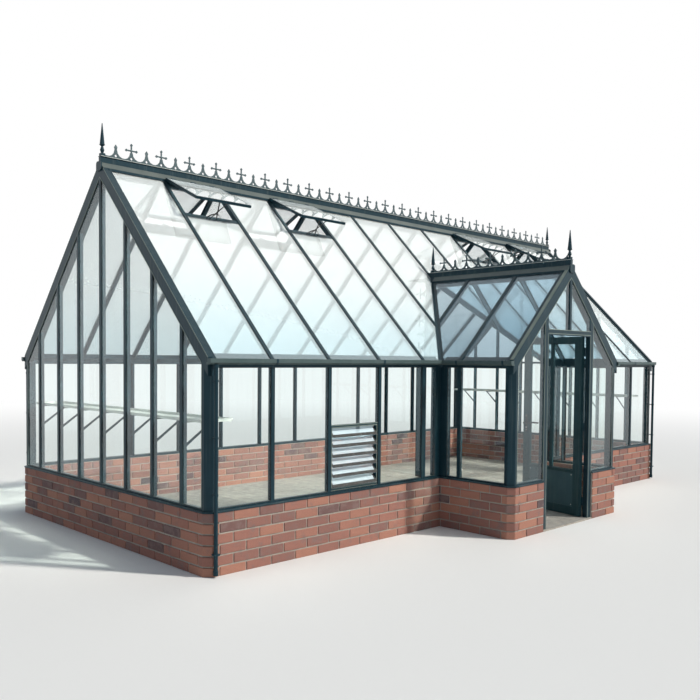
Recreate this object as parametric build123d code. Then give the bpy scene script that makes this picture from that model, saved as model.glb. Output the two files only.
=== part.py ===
from build123d import *

import math
import os
from dataclasses import dataclass

# Greenhouse with a centred gabled porch: coated aluminium frame and glass on a low brick wall.
# Millimetres. Z is up from the ground, X runs along the main ridge, -Y is the porch side.
# The origin is the middle of the main house, on the ground. Frame sizes are to the outer face of the bars.

# Main house
bay_pitch = 633.0
bay_count = 12
gable_pane_pitch = 444.0
gable_bar_count = 7
house_width = 3400.0
wall_height = 485.0
eaves_height = 1650.0
ridge_height = 3400.0

# Porch
porch_width = 2020.0
porch_depth = 840.0
porch_light_height = 639.0
porch_bay_pitch = 615.0

# Brickwork and floor
wall_thickness = 115.0
wall_ledge = 20.0
wall_corner_cut = 57.0
floor_thickness = 16.0

# Sill rail on the wall
sill_plate_thickness = 12.0
sill_rail_height = 14.0
sill_nose = 4.0
sill_drip_height = 5.0
sill_slope_start = 8.0
sill_depth = 60.0

# Bars and glass
cap_width = 36.0
cap_thickness = 8.0
web_width = 14.0
web_depth = 47.0
wide_bar_width = 58.0
wide_bar_depth = 92.0
glass_thickness = 4.0
glass_edge_gap = 2.0

# Corner posts and verges
post_size = 85.0
post_corner_cut = 50.0
inner_post_depth = 60.0
inner_post_flat = 80.0
tie_height = 30.0
tie_depth = 16.0
verge_lip_height = 14.0
verge_lip_width = 42.0
apex_plate_width = 90.0
apex_plate_drop = 65.0
apex_plate_rise = 20.0
apex_plate_cut = 14.0
apex_plate_thickness = 12.0

# Eaves, gutters and downpipes
eaves_beam_drop = 60.0
eaves_beam_depth = 60.0
roof_overhang = 8.0
gutter_width = 56.0
gutter_depth = 46.0
gutter_back_height = 18.0
gutter_wall = 2.5
gutter_end_reach = 12.0
gutter_joint_gap = 4.0
gutter_rise = 8.0
gutter_floor_width = 39.0
gutter_turn_height = 14.0
gutter_lip = 6.0
downpipe_diameter = 32.0
downpipe_inset = 48.0
downpipe_foot_height = 18.0
downpipe_collar_height = 24.0
downpipe_collar_wall = 4.0
small_rod_sides = 12
clip_height = 170.0
clip_thickness = 14.0
clip_ear = 8.0
shoe_height = 40.0
pipe_wall_gap = 2.0

# Ridge
ridge_beam_width = 40.0
ridge_beam_drop = 90.0
ridge_cap_rise = 70.0
ridge_cap_width = 36.0
ridge_wing_reach = 62.0
ridge_wing_thickness = 18.0
ridge_skirt_height = 32.0
ridge_flange_width = 54.0
ridge_flange_thickness = 5.0

# Cresting and finials
motifs_per_bay = 4
crest_thickness = 8.0
crest_band = 15.0
crest_scallop_radius = 67.0
crest_arc_sides = 14
crest_hole_radius = 13.0
crest_hole_height = 27.0
spear_height = 130.0
spear_head_width = 32.0
spear_head_length = 40.0
spear_stem_width = 22.0
spear_barb_rise = 16.0
cross_height = 168.0
cross_arm_height = 101.0
cross_arm_span = 132.0
cross_bar_width = 13.0
cross_tip_width = 26.0
finial_height = 295.0
finial_base = 40.0
finial_foot_height = 26.0
finial_stem_radius = 9.5
finial_bulb_radius = 20.0
finial_bulb_height = 55.0
finial_neck_height = 88.0
finial_collar_radius = 26.5
finial_collar_height = 103.0
finial_spike_radius = 22.0
finial_point_radius = 3.5
finial_sides = 16
finial_end_gap = 5.0

# Valley
valley_width = 50.0
valley_depth = 60.0
valley_lip = 12.0
valley_groove = 14.0

# Roof vents: one bay each, hinged under the ridge and held open
vent_bays = (1, 3, 8, 10)
vent_length = 575.0
vent_open_angle = 20.5
vent_frame_width = 34.0
vent_frame_depth = 26.0
vent_side_gap = 4.0
vent_curb_distance = 535.0
vent_curb_rise = 10.0
opener_arm_width = 12.0
opener_arm_thickness = 3.0
opener_spread = 84.0
opener_pin_radius = 4.5
spring_radius = 80.0
spring_thickness = 4.0
spring_depth = 10.0
spring_sides = 16

# Louvre window
louvre_bay = 2
louvre_height = 575.0
louvre_frame_width = 26.0
louvre_frame_depth = 40.0
louvre_blade_count = 6
louvre_blade_width = 102.0
louvre_blade_thickness = 5.0
louvre_blade_angle = 38.0

# Door
door_opening_width = 830.0
door_height = 1896.0
door_head_height = 45.0
jamb_width = 60.0
jamb_depth = 52.0
door_side_gap = 7.0
door_bottom_gap = 6.0
door_top_gap = 8.0
door_thickness = 34.0
door_stile = 95.0
door_top_rail = 68.0
door_bottom_rail = 90.0
door_panel_top = 502.0
door_bar_width = 32.0
door_bar_inset = 6.0
door_panel_thickness = 18.0
door_panel_inset = 2.0
door_open_angle = 102.0
door_stop_width = 12.0
door_stop_gap = 5.5
hinge_throw = 7.0
hinge_inset = 3.0
hinge_length = 90.0
hinge_count = 3
hinge_end_distance = 160.0
hinge_leaf_width = 30.0
hinge_leaf_thickness = 2.5
handle_height = 960.0
handle_plate_height = 190.0
handle_plate_width = 34.0
handle_plate_thickness = 5.0
handle_reach = 42.0
handle_length = 110.0
handle_radius = 9.0
seat_gap = 0.3

# Shelves across the gables
shelf_height = 1185.0
shelf_width = 300.0
shelf_edge = 25.0
shelf_sheet = 3.0
shelf_end_inset = 170.0
bracket_height = 200.0
bracket_bar_width = 28.0
bracket_arm_height = 10.0
bracket_thickness = 4.0

# Worked out from the sizes above
half_length = bay_pitch * bay_count / 2
half_width = house_width / 2
porch_half = porch_width / 2
porch_front = -half_width - porch_depth
door_bottom = floor_thickness + door_bottom_gap
door_top = door_bottom + door_height
head_bottom = door_top + door_top_gap
head_top = head_bottom + door_head_height
porch_ridge_height = head_top + porch_light_height
main_tan = (ridge_height - eaves_height) / half_width
porch_tan = (porch_ridge_height - eaves_height) / porch_half
main_cos = math.cos(math.atan(main_tan))
porch_cos = math.cos(math.atan(porch_tan))
valley_top_y = -half_width + (porch_ridge_height - eaves_height) / main_tan
sill_top = wall_height + sill_plate_thickness + sill_rail_height
glass_top = -cap_thickness
glass_bottom = -cap_thickness - glass_thickness
bar_depth = cap_thickness + web_depth
post_inner = half_length - post_size
door_opening_half = door_opening_width / 2
jamb_outer = door_opening_half + jamb_width
inner_post_edge = porch_half + inner_post_flat
bay_lines = [-half_length + bay_pitch * k for k in range(bay_count + 1)]


def solid_from(points, path):
    """The flat outline through the points, carried along the path vector"""
    outline = make_face(Polyline(*points, close=True))
    way = Vector(*path)
    return extrude(outline, amount=way.length, dir=way.normalized())


def block(x0, x1, y0, y1, z0, z1):
    """A square block between two corners"""
    return Pos((x0 + x1) / 2, (y0 + y1) / 2, (z0 + z1) / 2) * Box(abs(x1 - x0), abs(y1 - y0), abs(z1 - z0))


def rod(radius, length):
    """A small upright rod about the origin, with few sides"""
    return extrude(RegularPolygon(radius, small_rod_sides), length / 2, both=True)


def joined(pieces):
    """One fused solid of pieces that meet"""
    pieces = list(pieces)
    return pieces[0].fuse(*pieces[1:]).clean() if len(pieces) > 1 else pieces[0]


def group(pieces):
    """Like pieces kept as separate solids"""
    solids = []
    for piece in pieces:
        solids.extend(piece.solids())
    return Compound(children=solids)


@dataclass(frozen=True)
class Side:
    """A straight side in plan. A place along it is its own X or Y, and outward is its outer normal."""

    offset: float
    outward: tuple

    def at(self, t, n, z):
        if self.outward[0]:
            return (self.offset + self.outward[0] * n, t, z)
        return (t, self.offset + self.outward[1] * n, z)

    def block(self, t0, t1, n0, n1, z0, z1):
        a = self.at(t0, n0, z0)
        b = self.at(t1, n1, z1)
        return block(a[0], b[0], a[1], b[1], a[2], b[2])

    def rail(self, section, t0, t1):
        """A section of (out, up) points carried along the side"""
        a = self.at(t0, 0, 0)
        b = self.at(t1, 0, 0)
        return solid_from([self.at(t0, n, z) for n, z in section], [b[i] - a[i] for i in range(3)])

    def panel(self, points, n0, n1):
        """An outline of (along, up) points, thick between two depths"""
        a = self.at(0, n0, 0)
        b = self.at(0, n1, 0)
        return solid_from([self.at(t, n0, z) for t, z in points], [b[i] - a[i] for i in range(3)])


left = Side(-half_length, (-1, 0))
right = Side(half_length, (1, 0))
front = Side(-half_width, (0, -1))
back = Side(half_width, (0, 1))
porch_left = Side(-porch_half, (-1, 0))
porch_right = Side(porch_half, (1, 0))
porch_face = Side(porch_front, (0, -1))


@dataclass(frozen=True)
class Slope:
    """A roof slope: its outer surface rises by the tangent along one plan direction"""

    eaves: float
    uphill: tuple
    tangent: float
    cosine: float

    def height(self, x, y):
        run = self.uphill[0] * x + self.uphill[1] * y - self.eaves
        return eaves_height + run * self.tangent

    def slab(self, plan, top, bottom):
        """The plan outline as a sheet between two depths square to the surface"""
        low = [(x, y, self.height(x, y) + bottom / self.cosine) for x, y in plan]
        return solid_from(low, (0, 0, (top - bottom) / self.cosine))


main_front = Slope(-half_width, (0, 1), main_tan, main_cos)
main_back = Slope(-half_width, (0, -1), main_tan, main_cos)
porch_slope_left = Slope(-porch_half, (1, 0), porch_tan, porch_cos)
porch_slope_right = Slope(-porch_half, (-1, 0), porch_tan, porch_cos)


def clipped(plan, inside):
    """The part of a convex plan outline where the function is positive"""
    kept = []
    for (ax, ay), (bx, by) in zip(plan, plan[1:] + plan[:1]):
        a = inside(ax, ay)
        b = inside(bx, by)
        if a >= 0:
            kept.append((ax, ay))
        if a * b < 0:
            share = a / (a - b)
            kept.append((ax + (bx - ax) * share, ay + (by - ay) * share))
    return kept


def valley_distance(x, y):
    """How far a plan point lies uphill of the valley line, on the main roof's side"""
    run_x = porch_half
    run_y = valley_top_y + half_width
    length = math.hypot(run_x, run_y)
    return ((y + half_width) * run_x - (porch_half - abs(x)) * run_y) / length


# Brickwork and floor

def corner_cut_block(x_out, y_out, x_in, y_in, cut):
    """Plan outline of a straight wall end with its outer corner cut off"""
    sx = 1 if x_out > x_in else -1
    sy = 1 if y_out > y_in else -1
    return [(x_in, y_out), (x_out - sx * cut, y_out), (x_out, y_out - sy * cut), (x_out, y_in), (x_in, y_in)]


def gable_wall(sign):
    """End wall across the full width, with both outer corners cut"""
    out = half_length + wall_ledge
    inner = out - wall_thickness
    edge = half_width + wall_ledge
    cut = wall_corner_cut
    plan = [(inner, -edge), (out - cut, -edge), (out, -edge + cut)]
    plan += [(x, -y) for x, y in reversed(plan)]
    return solid_from([(sign * x, y, 0) for x, y in plan], (0, 0, wall_height))


def long_wall(sign_y, x0, x1):
    """Straight stretch of the long walls between two X places"""
    out = half_width + wall_ledge
    return block(x0, x1, sign_y * (out - wall_thickness), sign_y * out, 0, wall_height)


def porch_side_wall(sign):
    """Porch side, from its cut front corner back to the inner face of the front wall"""
    out = porch_half + wall_ledge
    inner = out - wall_thickness
    y_front = porch_front - wall_ledge
    y_back = -half_width - wall_ledge + wall_thickness
    cut = wall_corner_cut
    plan = [(inner, y_front), (out - cut, y_front), (out, y_front + cut), (out, y_back), (inner, y_back)]
    return solid_from([(sign * x, y, 0) for x, y in plan], (0, 0, wall_height))


def door_pier(sign):
    """Short wall between the porch side and the door jamb"""
    inner = porch_half + wall_ledge - wall_thickness
    y_front = porch_front - wall_ledge
    return block(sign * jamb_outer, sign * inner, y_front, y_front + wall_thickness, 0, wall_height)


def walls():
    """All brick walls, as plain masonry"""
    gable_inner = half_length + wall_ledge - wall_thickness
    porch_outer = porch_half + wall_ledge
    return {
        "left_wall": gable_wall(-1),
        "right_wall": gable_wall(1),
        "back_wall": long_wall(1, -gable_inner, gable_inner),
        "front_walls": group([long_wall(-1, s * gable_inner, s * porch_outer) for s in (-1, 1)]),
        "porch_side_walls": group([porch_side_wall(s) for s in (-1, 1)]),
        "door_piers": group([door_pier(s) for s in (-1, 1)]),
    }


def floors():
    """Paved floor inside the walls, up to the outer face of the door frame"""
    x_in = half_length + wall_ledge - wall_thickness
    y_in = half_width + wall_ledge - wall_thickness
    px_in = porch_half + wall_ledge - wall_thickness
    py_in = porch_front - wall_ledge + wall_thickness
    main = block(-x_in, x_in, -y_in, y_in, 0, floor_thickness)
    step = block(-jamb_outer, jamb_outer, porch_front - wall_ledge, py_in, 0, floor_thickness)
    inner = block(-px_in, px_in, py_in, -y_in, 0, floor_thickness)
    return {"main_floor": main, "porch_floor": joined([inner, step])}


# Frames

def sill(side, t0, t1):
    """Sill rail along a side: a thin plate out over the bricks and a low rail that the glass stands on"""
    nose = wall_ledge + sill_nose
    z0 = wall_height
    z1 = z0 + sill_plate_thickness
    section = [(nose, z0), (nose, z0 + sill_drip_height), (sill_slope_start, z1), (0, z1), (0, sill_top),
               (-sill_depth, sill_top), (-sill_depth, z0)]
    return side.rail(section, t0, t1)


def wall_bar(side, t, z_top, width=cap_width, depth=web_depth):
    """Upright glazing bar: a flat cap outside and a web behind it"""
    half = width / 2
    back_face = -cap_thickness - depth
    cap = side.block(t - half, t + half, -cap_thickness, 0, sill_top, z_top)
    web = side.block(t - web_width / 2, t + web_width / 2, back_face, -cap_thickness, sill_top, z_top)
    return joined([cap, web])


def eaves_beam(side, t0, t1, tangent, cosine):
    """Beam along the eaves, its top sloped to carry the glass"""
    top = eaves_height + glass_bottom / cosine
    low = eaves_height - eaves_beam_drop
    inner = -eaves_beam_depth
    section = [(0, low), (0, top), (inner, top - inner * tangent), (inner, low)]
    return side.rail(section, t0, t1)


def post_plan(x_out, y_out):
    """Square post with its outer corner cut off, in plan"""
    sx = math.copysign(1, x_out)
    sy = math.copysign(1, y_out)
    x_in = x_out - sx * post_size
    y_in = y_out - sy * post_size
    return corner_cut_block(x_out, y_out, x_in, y_in, post_corner_cut)


def gable_under(y):
    """Height of the underside of the main verge"""
    return ridge_height - abs(y) * main_tan - post_size / main_cos


def gable_corner_post(sign_x, sign_y):
    """Corner post up into the verge"""
    plan = post_plan(sign_x * half_length, sign_y * half_width)
    bottom = wall_height + sill_plate_thickness
    post = solid_from([(x, y, bottom) for x, y in plan], (0, 0, eaves_height - wall_height))
    slope = main_front if sign_y < 0 else main_back
    x_far = sign_x * (half_length - 2 * post_size)
    y_far = sign_y * (half_width - 2 * post_size)
    x_near = sign_x * 2 * half_length
    y_near = sign_y * 2 * half_width
    over = [(x_near, y_near), (x_far, y_near), (x_far, y_far), (x_near, y_far)]
    lid = slope.slab(over, 6 * post_size, -post_size)
    return post - lid


def verge_sections():
    """The verge and its raised lip, as (inward, up) points square to the slope"""
    size = post_size
    lip = verge_lip_width
    bar = [(0, -size), (0, 0), (size, 0), (size, -size)]
    raised = [(0, 0), (0, verge_lip_height), (lip, verge_lip_height), (lip, 0)]
    return bar, raised


def main_verge(sign_x, sign_y):
    """Verge from the eaves up to the ridge, its lip stopping at the ridge cap"""
    runs = (half_width, half_width - ridge_wing_reach - seat_gap)
    pieces = []
    for section, run in zip(verge_sections(), runs):
        places = [(half_length - n, eaves_height + z / main_cos) for n, z in section]
        points = [(sign_x * x, sign_y * half_width, z) for x, z in places]
        pieces.append(solid_from(points, (0, -sign_y * run, run * main_tan)))
    return joined(pieces)


def gable_bar_places():
    """Where the gable's upright bars stand"""
    return [gable_pane_pitch * (k - (gable_bar_count - 1) / 2) for k in range(gable_bar_count)]


def gable_bar(side, y):
    """Upright bar cut to the slope under the verge"""
    def outline(half):
        low = [(y - half, sill_top), (y + half, sill_top)]
        high = [(y + half, gable_under(y + half))]
        if abs(y) < half:
            high.append((0, gable_under(0)))
        high.append((y - half, gable_under(y - half)))
        return low + high
    cap = side.panel(outline(cap_width / 2), 0, -cap_thickness)
    web = side.panel(outline(web_width / 2), -cap_thickness, -bar_depth)
    return joined([cap, web])


def gable_sill(side):
    """Sill across the gable, its plate carried round the cut corners"""
    sx = side.outward[0]
    out = half_length + wall_ledge + sill_nose
    edge = half_width + wall_ledge + sill_nose
    cut = wall_corner_cut
    inner = post_inner
    between = half_width - post_size
    plan = [(inner, -edge), (out - cut, -edge), (out, -edge + cut)]
    plan += [(x, -y) for x, y in reversed(plan)]
    plate = solid_from([(sx * x, y, wall_height) for x, y in plan], (0, 0, sill_plate_thickness))
    rail = side.block(-between, between, -sill_depth, 0, wall_height, sill_top)
    x_out = sx * (half_length - sill_depth)
    hollow = block(sx * (inner - 1), x_out, -between, between, wall_height - 1, sill_top + 1)
    return (plate - hollow).fuse(rail).clean()


def gable_frame(side):
    """Whole gable end: sill, corner posts, bars, tie rail and verges"""
    sx = side.outward[0]
    pieces = [gable_sill(side)]
    pieces += [gable_corner_post(sx, sy) for sy in (-1, 1)]
    pieces += [main_verge(sx, sy) for sy in (-1, 1)]
    pieces += [gable_bar(side, y) for y in gable_bar_places()]
    between = half_width - post_size
    tie_low = eaves_height - tie_height
    pieces.append(side.block(-between, between, -bar_depth - tie_depth, -bar_depth, tie_low, eaves_height))
    return joined(pieces)


def long_frame(side, t0, t1, beam_end, bars, wide_bar=None):
    """Frame of a long side: sill, eaves beam and upright bars, one of them wide beside the porch"""
    beam_bottom = eaves_height - eaves_beam_drop
    pieces = [sill(side, t0, t1), eaves_beam(side, t0, beam_end, main_tan, main_cos)]
    for t in bars:
        if t == wide_bar:
            pieces.append(wall_bar(side, t, beam_bottom, wide_bar_width, wide_bar_depth))
        else:
            pieces.append(wall_bar(side, t, beam_bottom))
    return joined(pieces)


def inner_post(sign):
    """Angle post in the corner between the front and the porch"""
    x_edge = inner_post_edge
    y_edge = -half_width - inner_post_flat
    d = inner_post_depth
    plan = [(x_edge, -half_width), (porch_half, -half_width), (porch_half, y_edge), (porch_half - d, y_edge),
            (porch_half - d, -half_width + d), (x_edge, -half_width + d)]
    bottom = wall_height + sill_plate_thickness
    plate_out = wall_ledge + sill_nose
    plate = [(x_edge, -half_width - plate_out), (porch_half + plate_out, -half_width - plate_out),
             (porch_half + plate_out, y_edge), (porch_half - d, y_edge), (porch_half - d, -half_width + d),
             (x_edge, -half_width + d)]
    height = eaves_height - eaves_beam_drop - bottom
    post = solid_from([(sign * x, y, bottom) for x, y in plan], (0, 0, height))
    foot = solid_from([(sign * x, y, wall_height) for x, y in plate], (0, 0, sill_plate_thickness))
    return joined([foot, post])


def porch_side_frame(side):
    """Porch side: cut-cornered front post, sill, one upright bar and the eaves beam"""
    sx = side.outward[0]
    y_post = porch_front + post_size
    y_inner = -half_width - inner_post_flat
    beam_bottom = eaves_height - eaves_beam_drop
    plan = post_plan(sx * porch_half, porch_front)
    bottom = wall_height + sill_plate_thickness
    post = solid_from([(x, y, bottom) for x, y in plan], (0, 0, eaves_height - bottom))
    slope = porch_slope_left if sx < 0 else porch_slope_right
    far = sx * (porch_half - 2 * post_size)
    near = sx * (porch_half + 2 * post_size)
    y_far = porch_front + 2 * post_size
    y_near = porch_front - 2 * post_size
    lid = slope.slab([(near, y_near), (far, y_near), (far, y_far), (near, y_far)], 4 * post_size, -post_size)
    out = porch_half + wall_ledge + sill_nose
    y_out = porch_front - wall_ledge - sill_nose
    cut = wall_corner_cut
    foot_plan = [(porch_half - post_size, y_out), (out - cut, y_out), (out, y_out + cut), (out, y_post),
                 (porch_half - post_size, y_post)]
    foot = solid_from([(sx * x, y, wall_height) for x, y in foot_plan], (0, 0, sill_plate_thickness))
    bar = wall_bar(side, porch_front + porch_bay_pitch, beam_bottom)
    beam = eaves_beam(side, y_post, -half_width - valley_width / 2, porch_tan, porch_cos)
    return joined([sill(side, y_post, y_inner), foot, post - lid, bar, beam])


def porch_verge(sign):
    """Verge of the porch gable, its lip stopping at the ridge cap"""
    runs = (porch_half, porch_half - ridge_wing_reach - seat_gap)
    pieces = []
    for section, run in zip(verge_sections(), runs):
        points = [(sign * porch_half, porch_front + n, eaves_height + z / porch_cos) for n, z in section]
        pieces.append(solid_from(points, (-sign * run, 0, run * porch_tan)))
    return joined(pieces)


def porch_under(x):
    """Height of the underside of the porch verge"""
    return porch_ridge_height - abs(x) * porch_tan - post_size / porch_cos


def porch_gable_bar(x, z_low):
    """Upright bar of the porch gable, cut under the verge"""
    def outline(half):
        high = [(x + half, porch_under(x + half))]
        if abs(x) < half:
            high.append((0, porch_under(0)))
        high.append((x - half, porch_under(x - half)))
        return [(x - half, z_low), (x + half, z_low)] + high
    cap = porch_face.panel(outline(cap_width / 2), 0, -cap_thickness)
    web = porch_face.panel(outline(web_width / 2), -cap_thickness, -bar_depth)
    return joined([cap, web])


def jamb_top(sign):
    """Outline of a door jamb up to the verge"""
    a = sign * door_opening_half
    b = sign * jamb_outer
    return [(a, floor_thickness), (b, floor_thickness), (b, porch_under(b)), (a, porch_under(a))]


def door_frame():
    """Jambs up to the verge, and the head over the door"""
    jambs = [porch_face.panel(jamb_top(s), 0, -jamb_depth) for s in (-1, 1)]
    head = porch_face.block(-door_opening_half, door_opening_half, -jamb_depth, 0, head_bottom, head_top)
    stop_back = -jamb_depth + door_thickness + door_stop_gap
    stop_in = door_opening_half - door_stop_width
    stop_low = head_bottom - door_stop_width
    stops = [porch_face.block(-stop_in, stop_in, stop_back, 0, stop_low, head_bottom)]
    for s in (-1, 1):
        edge = s * door_opening_half
        stops.append(porch_face.block(s * stop_in, edge, stop_back, 0, floor_thickness, head_bottom))
    return joined(jambs + [head] + stops)


def porch_gable_frame():
    """Porch verges and the bar over the door"""
    return joined([porch_verge(-1), porch_verge(1), porch_gable_bar(0, head_top)])


def frames():
    """All wall frames"""
    corner = half_length - post_size
    beam_end = porch_half + valley_width / 2
    left_bars = [x for x in bay_lines if -corner < x < -inner_post_edge]
    right_bars = [-x for x in reversed(left_bars)]
    front_left = long_frame(front, -corner, -inner_post_edge, -beam_end, left_bars, left_bars[-1])
    front_right = long_frame(front, corner, inner_post_edge, beam_end, right_bars, right_bars[0])
    back_bars = [x for x in bay_lines if -corner < x < corner]
    side_sills = [sill(porch_face, s * (porch_half - post_size), s * jamb_outer) for s in (-1, 1)]
    return {
        "left_gable_frame": gable_frame(left),
        "right_gable_frame": gable_frame(right),
        "front_frame_left": front_left,
        "front_frame_right": front_right,
        "back_frame": long_frame(back, -corner, corner, corner, back_bars),
        "inner_corner_posts": group([inner_post(s) for s in (-1, 1)]),
        "porch_frame_left": porch_side_frame(porch_left),
        "porch_frame_right": porch_side_frame(porch_right),
        "porch_gable_frame": porch_gable_frame(),
        "door_frame": door_frame(),
        "door_side_sills": group(side_sills),
    }


# Roof

def main_roof_bar(slope, sign_y, x):
    """Bar of the main roof, from the eaves or the valley up to the ridge beam"""
    edge = half_width + roof_overhang
    top = ridge_beam_width / 2
    half_cap = cap_width / 2
    half_web = web_width / 2

    def strip(half, low):
        plan = [(x - half, low), (x + half, low), (x + half, top), (x - half, top)]
        plan = [(a, sign_y * b) for a, b in plan]
        if sign_y < 0 and abs(x) - half < porch_half + valley_width:
            plan = clipped(plan, lambda a, b: valley_distance(a, b) - valley_width / 2)
        return plan
    cap = slope.slab(strip(half_cap, edge), 0, glass_top)
    beam_face = half_width - eaves_beam_depth
    web = slope.slab(strip(half_web, beam_face), glass_top, -bar_depth)
    foot = slope.slab(strip(half_web, edge), glass_top, glass_bottom)
    return joined([cap, web, foot])


def vent_crossbar(slope, sign_y, bay):
    """Bar across a bay that the vent closes on"""
    y = sign_y * (ridge_beam_width / 2 + vent_curb_distance * main_cos)
    x0 = bay_lines[bay] + web_width / 2
    x1 = bay_lines[bay + 1] - web_width / 2
    half = cap_width / 2
    plan = [(x0, y - half), (x1, y - half), (x1, y + half), (x0, y + half)]
    return slope.slab(plan, glass_top, -bar_depth + vent_curb_rise)


def main_roof_bars(slope, sign_y):
    """Bars of one main slope"""
    return group([main_roof_bar(slope, sign_y, bay_lines[k]) for k in range(1, bay_count)])


def main_glass_pane(slope, sign_y, k):
    """Plan outline of the roof pane in a bay"""
    x0 = bay_lines[k] + web_width / 2 + glass_edge_gap
    x1 = bay_lines[k + 1] - web_width / 2 - glass_edge_gap
    if k == 0:
        x0 = -half_length + post_size + glass_edge_gap
    if k == bay_count - 1:
        x1 = half_length - post_size - glass_edge_gap
    low = half_width + roof_overhang
    top = ridge_beam_width / 2
    if k in vent_bays:
        top += vent_curb_distance * main_cos + cap_width / 2
    plan = [(x0, sign_y * low), (x1, sign_y * low), (x1, sign_y * top), (x0, sign_y * top)]
    if sign_y < 0 and x0 < porch_half + valley_width and x1 > -porch_half - valley_width:
        plan = clipped(plan, lambda a, b: valley_distance(a, b) - valley_width / 2)
    return plan


def main_roof_glass(slope, sign_y):
    """Panes of one main slope"""
    panes = [main_glass_pane(slope, sign_y, k) for k in range(bay_count)]
    return group([slope.slab(pane, glass_top, glass_bottom) for pane in panes])


def porch_bar_lines():
    """Where the porch roof bars run"""
    return [porch_front + porch_bay_pitch * k for k in (1, 2)]


def porch_side(plan):
    """Keeps the part of a porch roof outline in front of the valley"""
    return clipped(plan, lambda a, b: -valley_distance(a, b) - valley_width / 2)


def porch_roof_bar(slope, sign, y):
    """Bar of the porch roof, from the eaves or valley up to the porch ridge"""
    edge = porch_half + roof_overhang
    beam_face = porch_half - eaves_beam_depth
    top = ridge_beam_width / 2

    def strip(half, low):
        plan = [(low, y - half), (low, y + half), (top, y + half), (top, y - half)]
        return porch_side([(sign * a, b) for a, b in plan])
    cap = slope.slab(strip(cap_width / 2, edge), 0, glass_top)
    web = slope.slab(strip(web_width / 2, beam_face), glass_top, -bar_depth)
    foot = slope.slab(strip(web_width / 2, edge), glass_top, glass_bottom)
    return joined([cap, web, foot])


def porch_roof_glass(slope, sign):
    """Panes of one porch slope"""
    lines = porch_bar_lines()
    edge_gap = web_width / 2 + glass_edge_gap
    starts = [porch_front + post_size + glass_edge_gap] + [y + edge_gap for y in lines]
    ends = [y - edge_gap for y in lines] + [valley_top_y]
    panes = []
    for y0, y1 in zip(starts, ends):
        edge = sign * (porch_half + roof_overhang)
        top = sign * ridge_beam_width / 2
        plan = porch_side([(edge, y0), (edge, y1), (top, y1), (top, y0)])
        panes.append(slope.slab(plan, glass_top, glass_bottom))
    return panes


def ridge_sections(peak, tangent):
    """The cap and beam outlines across a ridge, as (across, up) points"""
    half_beam = ridge_beam_width / 2
    half_cap = ridge_cap_width / 2
    reach = ridge_wing_reach
    top = peak + ridge_cap_rise
    edge = peak - reach * tangent
    half_flange = ridge_flange_width / 2
    under = top - ridge_flange_thickness
    right_side = [(reach, edge), (reach, edge + ridge_wing_thickness),
                  (half_cap, peak - half_cap * tangent + ridge_skirt_height), (half_cap, under),
                  (half_flange, under), (half_flange, top)]
    cap = right_side + [(-a, z) for a, z in reversed(right_side)] + [(0, peak)]
    low = peak - half_beam * tangent - ridge_beam_drop
    beam = [(half_beam, low), (half_beam, peak - half_beam * tangent), (0, peak),
            (-half_beam, peak - half_beam * tangent), (-half_beam, low)]
    return cap, beam


def main_ridge():
    """Main ridge: a beam between the gables under a cap over their full length"""
    cap, beam = ridge_sections(ridge_height, main_tan)
    cap_solid = solid_from([(-half_length, y, z) for y, z in cap], (2 * half_length, 0, 0))
    beam_solid = solid_from([(-post_inner, y, z) for y, z in beam], (2 * post_inner, 0, 0))
    return joined([cap_solid, beam_solid])


def porch_ridge():
    """Porch ridge, from the verge back until it meets the main slope"""
    cap, beam = ridge_sections(porch_ridge_height, porch_tan)
    y_back = valley_top_y + ridge_cap_rise
    cap_solid = solid_from([(x, porch_front, z) for x, z in cap], (0, y_back - porch_front, 0))
    y_beam = porch_front + post_size
    beam_solid = solid_from([(x, y_beam, z) for x, z in beam], (0, y_back - y_beam, 0))
    reach = 3 * ridge_wing_reach
    y_low = valley_top_y - porch_half
    y_high = valley_top_y + porch_half
    plan = [(-reach, y_low), (reach, y_low), (reach, y_high), (-reach, y_high)]
    under = main_front.slab(plan, 0, -porch_width)
    return joined([cap_solid, beam_solid]) - under


def valley(sign):
    """Valley gutter between the main and porch slopes: a grooved bar up the valley line"""
    foot = Vector(-porch_half, -half_width, eaves_height)
    head = Vector(0, valley_top_y, porch_ridge_height)
    run = head - foot
    plan = Vector(run.X, run.Y, 0)
    across = Vector(-plan.Y, plan.X, 0).normalized()
    half = valley_width / 2
    groove = valley_lip - valley_groove
    low = -valley_depth
    section = [(-half, low), (half, low), (half, valley_lip), (0, groove), (-half, valley_lip)]
    points = []
    for a, z in section:
        p = foot + across * a + Vector(0, 0, z)
        points.append((-sign * p.X, p.Y, p.Z))
    reach = run * 1.1
    bar = solid_from(points, (-sign * reach.X, reach.Y, reach.Z))
    near = sign * ridge_beam_width / 2
    stop = block(near, -sign * porch_width, -half_width - porch_depth, 0, 0, ridge_height)
    return bar - stop


def roofs():
    """Bars, glass, ridges and valleys"""
    porch_bars = []
    porch_panes = []
    for slope, sign in ((porch_slope_left, -1), (porch_slope_right, 1)):
        porch_bars += [porch_roof_bar(slope, sign, y) for y in porch_bar_lines()]
        porch_panes += porch_roof_glass(slope, sign)
    return {
        "roof_bars_front": main_roof_bars(main_front, -1),
        "roof_bars_back": main_roof_bars(main_back, 1),
        "roof_glass_front": main_roof_glass(main_front, -1),
        "roof_glass_back": main_roof_glass(main_back, 1),
        "porch_roof_bars": group(porch_bars),
        "porch_roof_glass": group(porch_panes),
        "vent_curbs": group([vent_crossbar(slope, s, bay) for slope, s in ((main_front, -1), (main_back, 1))
                             for bay in vent_bays]),
        "main_ridge": main_ridge(),
        "porch_ridge": porch_ridge(),
        "valley_gutters": group([valley(s) for s in (-1, 1)]),
    }


# Wall glass

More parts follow.
